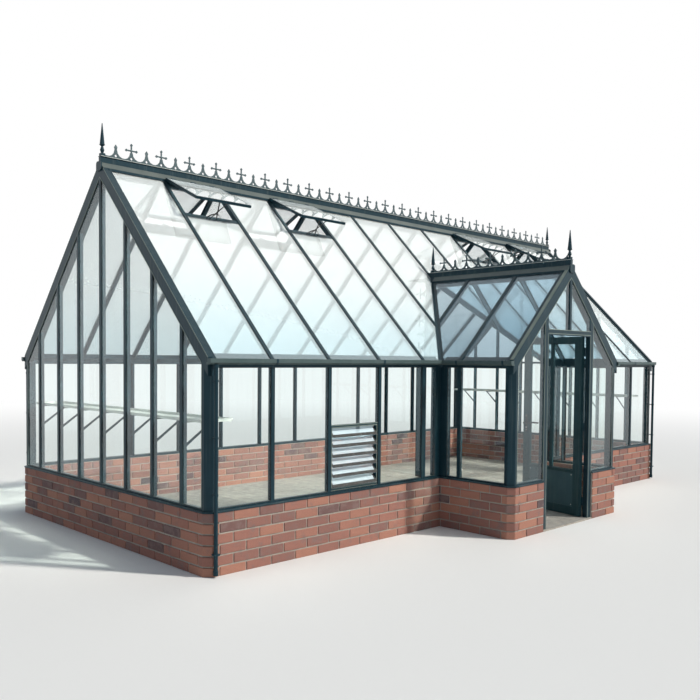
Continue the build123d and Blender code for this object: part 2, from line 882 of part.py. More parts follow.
def gable_glass(side):
    """One pane between each pair of bars, cut under the verge"""
    places = gable_bar_places()
    edge = web_width / 2 + glass_edge_gap
    starts = [-half_width + post_size + glass_edge_gap] + [y + edge for y in places]
    ends = [y - edge for y in places] + [half_width - post_size - glass_edge_gap]
    panes = []
    for y0, y1 in zip(starts, ends):
        high = [(y, gable_under(y) - glass_edge_gap) for y in (y1, y0)]
        outline = [(y0, sill_top), (y1, sill_top)] + high
        panes.append(side.panel(outline, glass_top, glass_bottom))
    return group(panes)


def panes_between(side, edges, z0, z1):
    """Upright rectangular panes between pairs of edges"""
    return [side.block(a, b, glass_bottom, glass_top, z0, z1) for a, b in edges]


def bar_gaps(start, places, end):
    """Pairs of pane edges between the bars"""
    edge = web_width / 2 + glass_edge_gap
    starts = [start + glass_edge_gap] + [t + edge for t in places]
    ends = [t - edge for t in places] + [end - glass_edge_gap]
    return list(zip(starts, ends))


def wall_glass():
    """Glass of every wall"""
    corner = half_length - post_size
    low = sill_top
    high = eaves_height - eaves_beam_drop
    left_bars = [x for x in bay_lines if -corner < x < -inner_post_edge]
    gaps = bar_gaps(-corner, left_bars, -inner_post_edge)
    louvre_gap = gaps[louvre_bay]
    louvre_top = sill_top + louvre_height
    front_panes = panes_between(front, [g for g in gaps if g is not louvre_gap], low, high)
    front_panes += panes_between(front, [louvre_gap], louvre_top, high)
    front_panes += panes_between(front, [(-b, -a) for a, b in gaps], low, high)
    back_bars = [x for x in bay_lines if -corner < x < corner]
    porch_bar = porch_front + porch_bay_pitch
    porch_gaps = bar_gaps(porch_front + post_size, [porch_bar], -half_width - inner_post_flat)
    gap_x = (porch_half - post_size - glass_edge_gap, jamb_outer + glass_edge_gap)
    beside = []
    for s in (-1, 1):
        a = s * gap_x[0]
        b = s * gap_x[1]
        outline = [(a, low), (b, low)] + [(x, porch_under(x) - glass_edge_gap) for x in (b, a)]
        beside.append(porch_face.panel(outline, glass_top, glass_bottom))
    over = []
    for s in (-1, 1):
        a = s * (web_width / 2 + glass_edge_gap)
        b = s * (door_opening_half - glass_edge_gap)
        outline = [(a, head_top), (b, head_top)] + [(x, porch_under(x) - glass_edge_gap) for x in (b, a)]
        over.append(porch_face.panel(outline, glass_top, glass_bottom))
    return {
        "left_gable_glass": gable_glass(left),
        "right_gable_glass": gable_glass(right),
        "front_glass": group(front_panes),
        "back_glass": group(panes_between(back, bar_gaps(-corner, back_bars, corner), low, high)),
        "porch_side_glass": group(panes_between(porch_left, porch_gaps, low, high)
                                  + panes_between(porch_right, porch_gaps, low, high)),
        "door_side_glass": group(beside),
        "porch_gable_glass": group(over),
    }


# Cresting and finials

def spear_head():
    """Small spear outline above the scallops"""
    half_stem = spear_stem_width / 2
    base = spear_height - spear_head_length
    barb = base + spear_barb_rise
    wide = spear_head_width / 2
    right_side = [(half_stem, 0), (half_stem, base), (wide, barb)]
    return right_side + [(0, spear_height)] + [(-a, z) for a, z in reversed(right_side)]


def cross_head():
    """Cross outline with spread tips above the scallops"""
    b = cross_bar_width / 2
    w = cross_tip_width / 2
    arm = cross_arm_span / 2
    mid = cross_arm_height
    top = cross_height
    tip = cross_tip_width
    right_side = [(b, 0), (b, mid - b), (arm - tip, mid - b), (arm - tip / 2, mid - w), (arm, mid),
                  (arm - tip / 2, mid + w), (arm - tip, mid + b), (b, mid + b), (b, top - tip),
                  (w, top - tip / 2)]
    return right_side + [(0, top)] + [(-a, z) for a, z in reversed(right_side)]


def crest_outline(places, start, end, first_is_spear):
    """Flat face of a length of cresting, as (along, up)"""
    pitch = bay_pitch / motifs_per_bay
    shoulder = crest_band + crest_scallop_radius
    length = end - start
    face = Pos((start + end) / 2, shoulder / 2) * Rectangle(length, shoulder)
    scallop = RegularPolygon(crest_scallop_radius, crest_arc_sides)
    hole = RegularPolygon(crest_hole_radius, 6)
    cuts = [Pos(t - pitch / 2, shoulder) * scallop for t in places]
    cuts.append(Pos(places[-1] + pitch / 2, shoulder) * scallop)
    cuts += [Pos(t, crest_hole_height) * hole for t in places]
    face = face - cuts
    heads = []
    for k, t in enumerate(places):
        outline = spear_head() if (k % 2 == 0) == first_is_spear else cross_head()
        heads.append(Pos(t, 0) * make_face(Polyline(*outline, close=True)))
    heads = [head - Pos(t, crest_hole_height) * hole for head, t in zip(heads, places)]
    return face + heads


def main_cresting():
    """Cresting along the main ridge between its finials"""
    pitch = bay_pitch / motifs_per_bay
    count = bay_count * motifs_per_bay - 1
    places = [-half_length + pitch * (k + 1) for k in range(count)]
    reach = half_length - finial_base - finial_end_gap
    face = crest_outline(places, -reach, reach, True)
    plane = Plane(origin=(0, 0, ridge_height + ridge_cap_rise), x_dir=(1, 0, 0), z_dir=(0, -1, 0))
    return extrude(plane * face, amount=crest_thickness / 2, both=True)


def porch_cresting():
    """Cresting along the porch ridge"""
    pitch = bay_pitch / motifs_per_bay
    y_front = porch_front + finial_base + finial_end_gap
    y_back = valley_top_y - finial_base / 2
    count = int((y_back - y_front) // pitch)
    first = (y_front + y_back) / 2 - pitch * (count - 1) / 2
    places = [first + pitch * k for k in range(count)]
    face = crest_outline(places, y_front, y_back, True)
    plane = Plane(origin=(0, 0, porch_ridge_height + ridge_cap_rise), x_dir=(0, 1, 0), z_dir=(1, 0, 0))
    return extrude(plane * face, amount=crest_thickness / 2, both=True)


def finial(x, y, z):
    """Turned finial: square foot, bulb, collar and a long spike"""
    rings = [(finial_stem_radius, finial_foot_height), (finial_bulb_radius, finial_bulb_height),
             (finial_stem_radius, finial_neck_height), (finial_collar_radius, finial_collar_height),
             (finial_spike_radius, finial_collar_height + finial_point_radius),
             (finial_point_radius, finial_height)]
    sections = [Pos(0, 0, h) * RegularPolygon(r, finial_sides) for r, h in rings]
    turned = loft(sections, ruled=True)
    foot = Pos(0, 0, finial_foot_height / 2) * Box(finial_base, finial_base, finial_foot_height)
    return Pos(x, y, z) * joined([foot, turned])


def crests():
    """Cresting and finials of both ridges"""
    main_top = ridge_height + ridge_cap_rise
    porch_top = porch_ridge_height + ridge_cap_rise
    inset = finial_base / 2 + finial_end_gap
    x = half_length - inset
    finials = [finial(-x, 0, main_top), finial(x, 0, main_top),
               finial(0, porch_front + inset, porch_top), finial(0, valley_top_y, porch_top)]
    return {"main_cresting": main_cresting(), "porch_cresting": porch_cresting(), "finials": group(finials)}


# Gutters and downpipes

def gutter(side, t0, t1):
    """Open gutter along the eaves, with a rolled front lip and closed ends"""
    w = gutter_wall
    top = eaves_height + gutter_rise
    z0 = top - gutter_depth
    turn = z0 + gutter_turn_height
    back_top = z0 + gutter_back_height
    outer = [(0, z0), (gutter_floor_width, z0), (gutter_width, turn), (gutter_width, top)]
    lip = gutter_width - gutter_lip
    face = gutter_width - w
    floor_end = gutter_floor_width - w / 2
    inner = [(lip, top), (lip, top - w), (face, top - w), (face, turn + w / 2)]
    inner += [(floor_end, z0 + w), (w, z0 + w), (w, back_top)]
    trough = side.rail(outer + inner + [(0, back_top)], t0, t1)
    cap = math.copysign(w, t1 - t0)
    glass_clear = roof_overhang + glass_edge_gap
    closed = outer + [(glass_clear, top), (glass_clear, turn - w), (0, turn - w)]
    return joined([trough, side.rail(closed, t0, t0 + cap), side.rail(closed, t1 - cap, t1)])


def downpipe(sign_x, sign_y):
    """Round pipe from the gutter to just above the ground, with a collar, a clip and a shoe"""
    r = downpipe_diameter / 2
    x = sign_x * (half_length - downpipe_inset)
    face = half_width + wall_ledge
    y = sign_y * (face + sill_nose + r + pipe_wall_gap)
    top = eaves_height - gutter_depth + gutter_rise
    pipe = Pos(x, y, (top + downpipe_foot_height) / 2) * Cylinder(r, top - downpipe_foot_height)
    collar_r = r + downpipe_collar_wall
    collar = Pos(x, y, top - downpipe_collar_height / 2) * rod(collar_r, downpipe_collar_height)
    half_clip = r + clip_ear
    clip = block(x - half_clip, x + half_clip, sign_y * face, y + sign_y * collar_r, clip_height,
                 clip_height + clip_thickness)
    shoe = Pos(x, y, downpipe_foot_height + shoe_height / 2) * rod(collar_r, shoe_height)
    return joined([pipe, collar, clip, shoe])


def rainwater():
    """Gutters along every eaves and four downpipes"""
    end = half_length + gutter_end_reach
    stop = porch_half + roof_overhang + gutter_joint_gap
    gutters = [gutter(front, s * end, s * stop) for s in (-1, 1)]
    gutters.append(gutter(back, -end, end))
    porch_end = porch_front - gutter_end_reach
    porch_stop = -half_width - gutter_width
    gutters += [gutter(side, porch_end, porch_stop) for side in (porch_left, porch_right)]
    pipes = [downpipe(sx, sy) for sx in (-1, 1) for sy in (-1, 1)]
    return {"gutters": group(gutters), "downpipes": group(pipes)}


# Roof vents and louvre window

def vent_place(sign_y, bay):
    """Where a vent's local frame stands: hinge at the origin, the sash running down the slope"""
    x = (bay_lines[bay] + bay_lines[bay + 1]) / 2
    y = ridge_wing_reach + seat_gap
    z = ridge_height - y * main_tan + ridge_wing_thickness / 2
    tilt = math.degrees(math.atan(main_tan)) - vent_open_angle
    turn = 0 if sign_y < 0 else 180
    return Pos(x, sign_y * y, z) * Rot(0, 0, turn) * Rot(tilt, 0, 0)


def vent_sash():
    """Vent frame lying flat: hinge edge on the X axis, body towards -Y"""
    width = bay_pitch - 2 * vent_side_gap
    outer = Pos(0, -vent_length / 2, vent_frame_depth / 2) * Box(width, vent_length, vent_frame_depth)
    w = vent_frame_width
    middle = -vent_length / 2
    hole = Pos(0, middle, 0) * Box(width - 2 * w, vent_length - 2 * w, 3 * vent_frame_depth)
    rebate_depth = glass_thickness + seat_gap
    rebate_z = vent_frame_depth - rebate_depth / 2
    rebate = Pos(0, middle, rebate_z) * Box(width - w, vent_length - w, rebate_depth)
    return outer - hole - rebate


def vent_pane():
    """Glass in the vent's rebate"""
    width = bay_pitch - 2 * vent_side_gap - vent_frame_width - 2 * glass_edge_gap
    length = vent_length - vent_frame_width - 2 * glass_edge_gap
    z = vent_frame_depth - glass_thickness / 2 - seat_gap / 2
    return Pos(0, -vent_length / 2, z) * Box(width, length, glass_thickness)


def vent_opener(place, curb, sash, bay, sign_y):
    """Crossed arms and a spring arch that hold a vent up from its curb"""
    rail = place * Pos(0, vent_frame_width / 2 - vent_length, 0)
    x = (bay_lines[bay] + bay_lines[bay + 1]) / 2
    run = ridge_beam_width / 2 + vent_curb_distance * main_cos
    foot = Vector(x, sign_y * run, ridge_height - run * main_tan + 2 * glass_top / main_cos)
    head = Vector(*rail.position)
    way = head - foot
    plane = Plane(origin=foot, x_dir=(1, 0, 0), z_dir=Vector(1, 0, 0).cross(way))
    length = way.length
    lean = math.degrees(math.atan(opener_spread / length))
    arm = Rectangle(opener_arm_width, length / math.cos(math.radians(lean)) + opener_arm_width)
    middle = Pos(0, length / 2)
    pieces = [extrude(plane * middle * RegularPolygon(opener_pin_radius, 8), 3 * opener_arm_thickness)]
    for turn, depth in ((lean, 0), (-lean, opener_arm_thickness)):
        crossed = plane.offset(depth) * middle * Rot(0, 0, turn) * arm
        pieces.append(extrude(crossed, opener_arm_thickness))
    outer = RegularPolygon(spring_radius, spring_sides)
    ring = outer - RegularPolygon(spring_radius - spring_thickness, spring_sides)
    upper = Pos(0, spring_radius / 2) * Rectangle(2 * spring_radius, spring_radius)
    pieces.append(extrude(plane * (ring & upper), spring_depth))
    return joined(pieces) - curb - sash


def vents():
    """Sashes, glass and openers of the roof vents on both slopes"""
    sash = vent_sash()
    pane = vent_pane()
    spots = [(s, bay, vent_place(s, bay)) for s in (-1, 1) for bay in vent_bays]
    openers = []
    for s, bay, place in spots:
        curb = vent_crossbar(main_front if s < 0 else main_back, s, bay)
        openers.append(vent_opener(place, curb, place * sash, bay, s))
    return {
        "roof_vents": group([place * sash for s, bay, place in spots]),
        "vent_glass": group([place * pane for s, bay, place in spots]),
        "vent_openers": group(openers),
    }


def louvre():
    """Louvre window: a frame on the sill in one bay, with tilted glass blades"""
    x0 = bay_lines[louvre_bay] + web_width / 2 + glass_edge_gap
    x1 = bay_lines[louvre_bay + 1] - web_width / 2 - glass_edge_gap
    z0 = sill_top
    z1 = sill_top + louvre_height
    n0 = glass_top
    n1 = glass_top - louvre_frame_depth
    w = louvre_frame_width
    ring = front.block(x0, x1, n1, n0, z0, z1)
    ring -= front.block(x0 + w, x1 - w, n1 - 1, n0 + 1, z0 + w, z1 - w)
    pitch = (louvre_height - 2 * w) / louvre_blade_count
    blades = []
    for k in range(louvre_blade_count):
        z = z0 + w + pitch * (k + 0.5)
        centre = front.at((x0 + x1) / 2, (n0 + n1) / 2, z)
        blade = Box(x1 - x0 - 2 * w - 2 * seat_gap, louvre_blade_thickness, louvre_blade_width)
        blades.append(Pos(*centre) * Rot(-louvre_blade_angle, 0, 0) * blade)
    return {"louvre_frame": ring, "louvre_blades": group(blades)}


# Door: drawn closed, then turned about its hinge line to where it stands open

hinge_x = door_opening_half - hinge_inset
hinge_y = porch_front + jamb_depth + hinge_throw
hinge_radius = math.hypot(hinge_inset, hinge_throw) - seat_gap


def opened(piece):
    """Turn a piece of the closed door to its open place"""
    return Pos(hinge_x, hinge_y, 0) * Rot(0, 0, -door_open_angle) * Pos(-hinge_x, -hinge_y, 0) * piece


def door_parts():
    """Leaf frame, panel, glass, handle and hinge knuckles"""
    x1 = door_opening_half - door_side_gap
    x0 = -x1
    y1 = porch_front + jamb_depth
    y0 = y1 - door_thickness
    z0 = door_bottom
    z1 = door_top
    a = x0 + door_stile
    b = x1 - door_stile
    low = z0 + door_bottom_rail
    rail = door_panel_top - door_bar_width
    high = z1 - door_top_rail
    leaf = block(x0, x1, y0, y1, z0, z1)
    panel_gap = block(a, b, y0 - 1, y1 + 1, low, rail)
    light = block(a, b, y0 - 1, y1 + 1, door_panel_top, high)
    middle = (x0 + x1) / 2
    bar_a = middle - door_bar_width / 2
    bar_b = middle + door_bar_width / 2
    bar = block(bar_a, bar_b, y0 + door_bar_inset, y1 - door_bar_inset, door_panel_top, high)
    frame = (leaf - panel_gap - light).fuse(bar).clean()
    g = seat_gap
    panel_y = y0 + door_panel_inset
    panel = block(a + g, b - g, panel_y, panel_y + door_panel_thickness, low + g, rail - g)
    yc = (y0 + y1) / 2
    half = glass_thickness / 2
    sides = ((a, bar_a), (bar_b, b))
    panes = [block(p + g, q - g, yc - half, yc + half, door_panel_top + g, high - g) for p, q in sides]
    return {"door_leaf": frame, "door_panel": panel, "door_glass": group(panes),
            "door_handle": door_handle(x0, y0, y1), "door_hinges": door_hinges(x1, y1)}


def door_handle(x0, y0, y1):
    """Lever handles on both faces of the free stile"""
    x = x0 + door_stile / 2
    half = handle_plate_width / 2
    low = handle_height - handle_plate_height / 2
    levers = []
    for face, out in ((y0, -1), (y1, 1)):
        plate_face = face + out * handle_plate_thickness
        plate = block(x - half, x + half, face, plate_face, low, low + handle_plate_height)
        neck_y = face + out * handle_reach / 2
        neck = Pos(x, neck_y, handle_height) * Rot(90, 0, 0) * rod(handle_radius, handle_reach)
        grip_x = x + handle_length / 2 - handle_radius
        grip_y = face + out * handle_reach
        grip = Pos(grip_x, grip_y, handle_height) * Rot(0, 90, 0) * rod(handle_radius, handle_length)
        levers.append(joined([plate, neck, grip]))
    return group(levers)


def door_hinges(x1, y1):
    """Hinge knuckles on the inner face, each with its leaf plate"""
    span = door_height - 2 * hinge_end_distance
    half = hinge_length / 2
    knuckles = []
    for k in range(hinge_count):
        z = door_bottom + hinge_end_distance + span * k / (hinge_count - 1)
        barrel = Pos(hinge_x, hinge_y, z) * rod(hinge_radius, hinge_length)
        plate = block(x1 - hinge_leaf_width, hinge_x, y1, y1 + hinge_leaf_thickness, z - half, z + half)
        knuckles.append(joined([barrel, plate]))
    return group(knuckles)


def door():
    """The single door, standing open into the porch"""
    return {name: opened(piece) for name, piece in door_parts().items()}


# Shelves and apex covers

def gable_shelf(sign):
    """Tray across the inside of a gable, on the bars"""
    x1 = half_length - bar_depth
    x0 = x1 - shelf_width
    end = half_width - shelf_end_inset
    w = shelf_sheet
    z0 = shelf_height - shelf_edge
    tray = block(sign * x0, sign * x1, -end, end, z0, shelf_height)
    return tray - block(sign * (x0 + w), sign * (x1 - w), -end + w, end - w, z0 + w, shelf_height + 1)


def shelf_bracket(sign, y):
    """Thin bracket from a gable bar out under the shelf"""
    x1 = half_length - bar_depth
    x0 = x1 - shelf_width + shelf_edge
    top = shelf_height - shelf_edge
    low = top - bracket_height
    wide = bracket_bar_width
    arm_low = top - bracket_arm_height
    strut = [(x1, low), (x1, low + wide), (x0 + wide, top), (x0, top)]
    arm = [(x1, arm_low), (x1, top), (x0, top), (x0, arm_low)]
    half = bracket_thickness / 2
    return joined([solid_from([(sign * x, y - half, z) for x, z in outline], (0, bracket_thickness, 0))
                   for outline in (strut, arm)])


def apex_cover(side, peak):
    """Small cut-cornered plate over the meeting of two verges"""
    half = apex_plate_width / 2
    low = peak - apex_plate_drop
    high = peak + apex_plate_rise
    cut = apex_plate_cut
    outline = [(half - cut, low), (half, low + cut), (half, high - cut), (half - cut, high)]
    outline += [(-t, z) for t, z in reversed(outline)]
    return side.panel(outline, 0, apex_plate_thickness)


def fittings():
    """Shelves with their brackets, and the covers on the three gable points"""
    covers = [apex_cover(left, ridge_height), apex_cover(right, ridge_height),
              apex_cover(porch_face, porch_ridge_height)]
    return {
        "gable_shelves": group([gable_shelf(s) for s in (-1, 1)]),
        "shelf_brackets": group([shelf_bracket(s, y) for s in (-1, 1) for y in gable_bar_places()]),
        "apex_covers": group(covers),
    }


def build():
    """Write every piece to its own file"""
    os.makedirs("parts", exist_ok=True)
    pieces = {}
    sections = (walls, floors, frames, roofs, wall_glass, crests, rainwater, vents, louvre, door, fittings)
    for section in sections:
        pieces.update(section())
    for name, piece in pieces.items():
        export_step(piece, f"parts/{name}.step")
    print(len(pieces), "pieces")


build()
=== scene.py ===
import logging
import math
import random
from dataclasses import dataclass, field
from enum import Enum
from functools import cache
from itertools import product
from typing import Callable, Iterable, Iterator

import bmesh
import bpy
from mathutils import Matrix, Vector


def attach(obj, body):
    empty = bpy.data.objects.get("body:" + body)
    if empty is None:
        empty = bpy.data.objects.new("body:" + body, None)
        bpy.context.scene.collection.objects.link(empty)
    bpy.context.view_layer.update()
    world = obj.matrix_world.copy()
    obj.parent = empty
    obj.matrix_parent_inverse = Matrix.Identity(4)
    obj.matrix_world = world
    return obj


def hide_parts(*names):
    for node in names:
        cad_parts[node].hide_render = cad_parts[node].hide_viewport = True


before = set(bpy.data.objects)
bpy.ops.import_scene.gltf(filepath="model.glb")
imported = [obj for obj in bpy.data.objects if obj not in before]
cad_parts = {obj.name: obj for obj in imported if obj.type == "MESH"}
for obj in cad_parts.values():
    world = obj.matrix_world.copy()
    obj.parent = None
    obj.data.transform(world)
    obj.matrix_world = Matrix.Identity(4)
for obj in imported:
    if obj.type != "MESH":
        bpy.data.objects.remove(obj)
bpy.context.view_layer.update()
log = logging.getLogger("greenhouse")

Point = tuple[float, float, float]
Colour = tuple[float, float, float]
Span = tuple[float, float]
Test = Callable[[object], bool]
Piece = bpy.types.Object
Socket = bpy.types.NodeSocket


class Body(Enum):
    """The two bodies that pieces ride on."""

    HOUSE = "house"
    DOOR = "door"


class Slot(Enum):
    """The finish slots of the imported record."""

    FRAME = "frame"
    GUTTER = "gutter"
    HARDWARE = "hardware"
    BRICK = "brick"
    FLOOR = "floor_slabs"


@dataclass(frozen=True)
class House:
    """Driving sizes of the greenhouse in metres: X runs along the main ridge and -Y is the porch side."""

    bay_pitch: float = 0.633
    bay_count: int = 12
    gable_pitch: float = 0.444
    gable_bars: int = 7
    half_width: float = 1.7
    wall_height: float = 0.485
    eaves_height: float = 1.65
    ridge_height: float = 3.4
    porch_half: float = 1.01
    porch_depth: float = 0.84
    porch_bay: float = 0.615
    porch_ridge: float = 2.61
    wall_ledge: float = 0.02
    wall_thickness: float = 0.115
    corner_cut: float = 0.057
    floor_top: float = 0.016
    sill_top: float = 0.511
    cap_width: float = 0.036
    cap_thickness: float = 0.008
    wide_cap: float = 0.058
    post_size: float = 0.085
    inner_post: float = 0.08
    beam_drop: float = 0.06
    overhang: float = 0.008
    ridge_wing: float = 0.062
    valley_width: float = 0.05
    curb_distance: float = 0.535
    vent_bays: tuple[int, ...] = (1, 3, 8, 10)
    louvre_bay: int = 2
    louvre_height: float = 0.575
    opening_half: float = 0.415
    jamb_width: float = 0.06
    jamb_depth: float = 0.052
    head_low: float = 1.926
    head_top: float = 1.971
    door_half: float = 0.408
    door_low: float = 0.022
    door_top: float = 1.918
    door_thickness: float = 0.034
    door_stile: float = 0.095
    door_bottom_rail: float = 0.09
    door_top_rail: float = 0.068
    door_rail_top: float = 0.502
    door_rail: float = 0.032
    door_turn: float = -102.0
    hinge_inset: float = 0.003
    hinge_throw: float = 0.007
    handle_height: float = 0.96
    ridge_cap_rise: float = 0.07
    motifs_in_bay: int = 4
    cross_height: float = 0.101
    vent_opening: float = 20.5
    gutter_width: float = 0.056
    gutter_low: float = 1.612
    gutter_high: float = 1.658
    pipe_radius: float = 0.016
    pipe_inset: float = 0.048
    pipe_gap: float = 0.006

    @property
    def half_length(self) -> float:
        """Half the length over the gables' bars."""
        return self.bay_pitch * self.bay_count / 2

    @property
    def porch_front(self) -> float:
        """Y of the porch's outer face."""
        return -self.half_width - self.porch_depth

    @property
    def pitch_angle(self) -> float:
        """Angle of the main slopes."""
        return math.atan2(self.ridge_height - self.eaves_height, self.half_width)

    @property
    def porch_angle(self) -> float:
        """Angle of the porch slopes."""
        return math.atan2(self.porch_ridge - self.eaves_height, self.porch_half)

    @property
    def valley_top(self) -> float:
        """Y where the porch ridge meets the main slope."""
        return -self.half_width + (self.porch_ridge - self.eaves_height) / math.tan(self.pitch_angle)

    @property
    def door_inner(self) -> float:
        """Y of the closed door's inner face."""
        return self.porch_front + self.jamb_depth

    @property
    def pipe_y(self) -> float:
        """Distance of the downpipes' middle from the long axis."""
        return self.half_width + self.wall_ledge + self.pipe_gap + self.pipe_radius

    @property
    def glass_top(self) -> float:
        """Height of the wall glass's upper edge."""
        return self.eaves_height - self.beam_drop

    def faces(self, distance: float) -> Span:
        """Outer and inner face of the brick wall under a glass wall at a distance from the middle."""
        outer = distance + self.wall_ledge
        return outer, outer - self.wall_thickness

    def opened(self) -> Matrix:
        """How a piece of the closed door moves to where the door stands open.

        Returns:
            The matrix.
        """
        hinge = Vector((self.opening_half - self.hinge_inset, self.door_inner + self.hinge_throw, 0))
        turn = Matrix.Rotation(math.radians(self.door_turn), 4, "Z")
        return Matrix.Translation(hinge) @ turn @ Matrix.Translation(-hinge)

    def bay_line(self, k: int) -> float:
        """X of the bar line at the start of bay k."""
        return -self.half_length + self.bay_pitch * k

    def gable_bar(self, k: int) -> float:
        """Y of upright bar k of a gable."""
        return self.gable_pitch * (k - (self.gable_bars - 1) / 2)

    def roof_height(self, y: float) -> float:
        """Height of the main slopes' outer face at a Y."""
        return self.ridge_height - abs(y) * math.tan(self.pitch_angle)

    def verge_under(self, y: float) -> float:
        """Height of the underside of the main verge."""
        return self.roof_height(y) - self.post_size / math.cos(self.pitch_angle)

    def porch_under(self, x: float) -> float:
        """Height of the underside of the porch verge."""
        drop = abs(x) * math.tan(self.porch_angle) + self.post_size / math.cos(self.porch_angle)
        return self.porch_ridge - drop

    def valley_y(self, x: float, uphill: float) -> float:
        """Y on the main slope at a distance uphill of the valley line.

        Args:
            x: place along the ridge.
            uphill: plan distance from the valley line, square to it.

        Returns:
            The Y of the point.
        """
        run_y = self.valley_top + self.half_width
        slant = math.hypot(self.porch_half, run_y)
        return -self.half_width + (slant * uphill + (self.porch_half - abs(x)) * run_y) / self.porch_half


house = House()


class Bench:
    """Modelling steps with Blender's operators, as they are done by hand."""

    turn_angle = math.radians(20)
    level = 0.9

    @staticmethod
    def clear() -> None:
        """Leave edit mode and deselect everything."""
        if bpy.context.mode != "OBJECT":
            bpy.ops.object.mode_set(mode="OBJECT")
        bpy.ops.object.select_all(action="DESELECT")

    @staticmethod
    def select(parts: list[Piece]) -> None:
        """Select some pieces only, with the first one active.

        Args:
            parts: the pieces.
        """
        Bench.clear()
        for part in parts:
            part.select_set(True)
        bpy.context.view_layer.objects.active = parts[0]

    @staticmethod
    def named(name: str) -> Piece:
        """The active piece, once it has its name.

        Args:
            name: its name.

        Returns:
            The piece.
        """
        piece = bpy.context.active_object
        piece.name = name
        piece.data.name = name
        return piece

    @staticmethod
    def settle(name: str) -> Piece:
        """Put the new primitive's place and size into its mesh, and name it."""
        bpy.ops.object.transform_apply(location=True, rotation=True, scale=True)
        return Bench.named(name)

    @staticmethod
    def block(name: str, low: Point, high: Point) -> Piece:
        """A block between two corners.

        Args:
            name: the piece's name.
            low: lowest corner.
            high: highest corner.

        Returns:
            The new piece.
        """
        Bench.clear()
        centre = [(a + b) / 2 for a, b in zip(low, high)]
        size = [b - a for a, b in zip(low, high)]
        bpy.ops.mesh.primitive_cube_add(size=1, location=centre, scale=size)
        return Bench.settle(name)

    @staticmethod
    def rod(name: str, radius: float, length: float, sides: int) -> Piece:
        """A round rod that stands on the origin.

        Args:
            name: the piece's name.
            radius: outer radius.
            length: height.
            sides: number of sides.

        Returns:
            The new piece.
        """
        Bench.clear()
        bpy.ops.mesh.primitive_cylinder_add(vertices=sides, radius=radius, depth=length,
                                            location=(0, 0, length / 2))
        return Bench.settle(name)

    @staticmethod
    def edit(piece: Piece, chosen: Test | None, kind: str = "FACE") -> None:
        """Enter edit mode on one piece with some of its faces or edges selected.

        Args:
            piece: the piece to edit.
            chosen: test for a face or an edge, or None for all of it.
            kind: FACE or EDGE.
        """
        Bench.select([piece])
        bpy.ops.object.mode_set(mode="EDIT")
        bpy.ops.mesh.select_mode(type=kind)
        bpy.ops.mesh.select_all(action="SELECT" if chosen is None else "DESELECT")
        if chosen is not None:
            shape = bmesh.from_edit_mesh(piece.data)
            for element in shape.faces if kind == "FACE" else shape.edges:
                if chosen(element):
                    element.select_set(True)
            shape.select_flush_mode()
            bmesh.update_edit_mesh(piece.data)

    @staticmethod
    def bevel(piece: Piece, width: float, chosen: Test | None = None,
              segments: int = 1) -> None:
        """Bevel some edges of a piece.

        Args:
            piece: the piece.
            width: bevel width.
            chosen: test for an edge, or None for each edge that turns.
            segments: steps of the bevel.
        """
        Bench.edit(piece, chosen or Bench.turns, "EDGE")
        bpy.ops.mesh.bevel(offset=width, segments=segments, affect="EDGES")
        Bench.clear()

    @staticmethod
    def turns(edge: bmesh.types.BMEdge) -> bool:
        """True for an edge where the surface turns."""
        return len(edge.link_faces) == 2 and edge.calc_face_angle(0) > Bench.turn_angle

    @staticmethod
    def above(height: float) -> Test:
        """A test for the edges that lie higher than a height."""
        return lambda edge: all(vertex.co.z > height for vertex in edge.verts)

    @staticmethod
    def cut(piece: Piece, point: Vector, outward: Vector) -> None:
        """Cut off what lies outward of a plane, and close the cut.

        Args:
            piece: the piece.
            point: a point of the plane.
            outward: normal of the plane towards what goes.
        """
        Bench.edit(piece, None)
        bpy.ops.mesh.bisect(plane_co=tuple(point), plane_no=tuple(outward), use_fill=True, clear_outer=True)
        Bench.clear()

    @staticmethod
    def divide(piece: Piece, cuts: int) -> None:
        """Divide every edge of a piece.

        Args:
            piece: the piece.
            cuts: cuts in each edge.
        """
        Bench.edit(piece, None)
        bpy.ops.mesh.subdivide(number_cuts=cuts)
        Bench.clear()

    @staticmethod
    def sink_top(piece: Piece, inset: float, depth: float) -> None:
        """Inset the faces that look up and push them in.

        Args:
            piece: the piece.
            inset: width of the rim that stays.
            depth: how far they sink.
        """
        Bench.edit(piece, lambda face: face.normal.z > Bench.level)
        bpy.ops.mesh.inset(thickness=inset, depth=0)
        bpy.ops.mesh.extrude_region_move(TRANSFORM_OT_translate={"value": (0, 0, -depth)})
        Bench.clear()

    @staticmethod
    def copy(master: Piece, matrix: Matrix) -> Piece:
        """A copy of a piece with its own mesh, moved in its mesh.

        Args:
            master: the piece to copy.
            matrix: where the copy goes.

        Returns:
            The copy.
        """
        twin = master.copy()
        twin.data = master.data.copy()
        twin.data.transform(matrix)
        if matrix.determinant() < 0:
            twin.data.flip_normals()
        bpy.context.scene.collection.objects.link(twin)
        return twin

    @staticmethod
    def drop(pieces: Iterable[Piece]) -> None:
        """Remove pieces that were only copied from."""
        for piece in list(pieces):
            bpy.data.objects.remove(piece)

    @staticmethod
    def join(name: str, parts: list[Piece]) -> Piece:
        """Join parts into one piece.

        Args:
            name: the piece's name.
            parts: the parts.

        Returns:
            The joined piece.
        """
        Bench.select(parts)
        bpy.ops.object.join()
        return Bench.named(name)

    @staticmethod
    def repeat(name: str, master: Piece, places: Iterable[Matrix]) -> Piece:
        """One piece from copies of a master, which is then removed.

        Args:
            name: the piece's name.
            master: what is copied.
            places: where each copy goes.

        Returns:
            The joined piece.
        """
        copies = [Bench.copy(master, place) for place in places]
        Bench.drop([master])
        return Bench.join(name, copies)

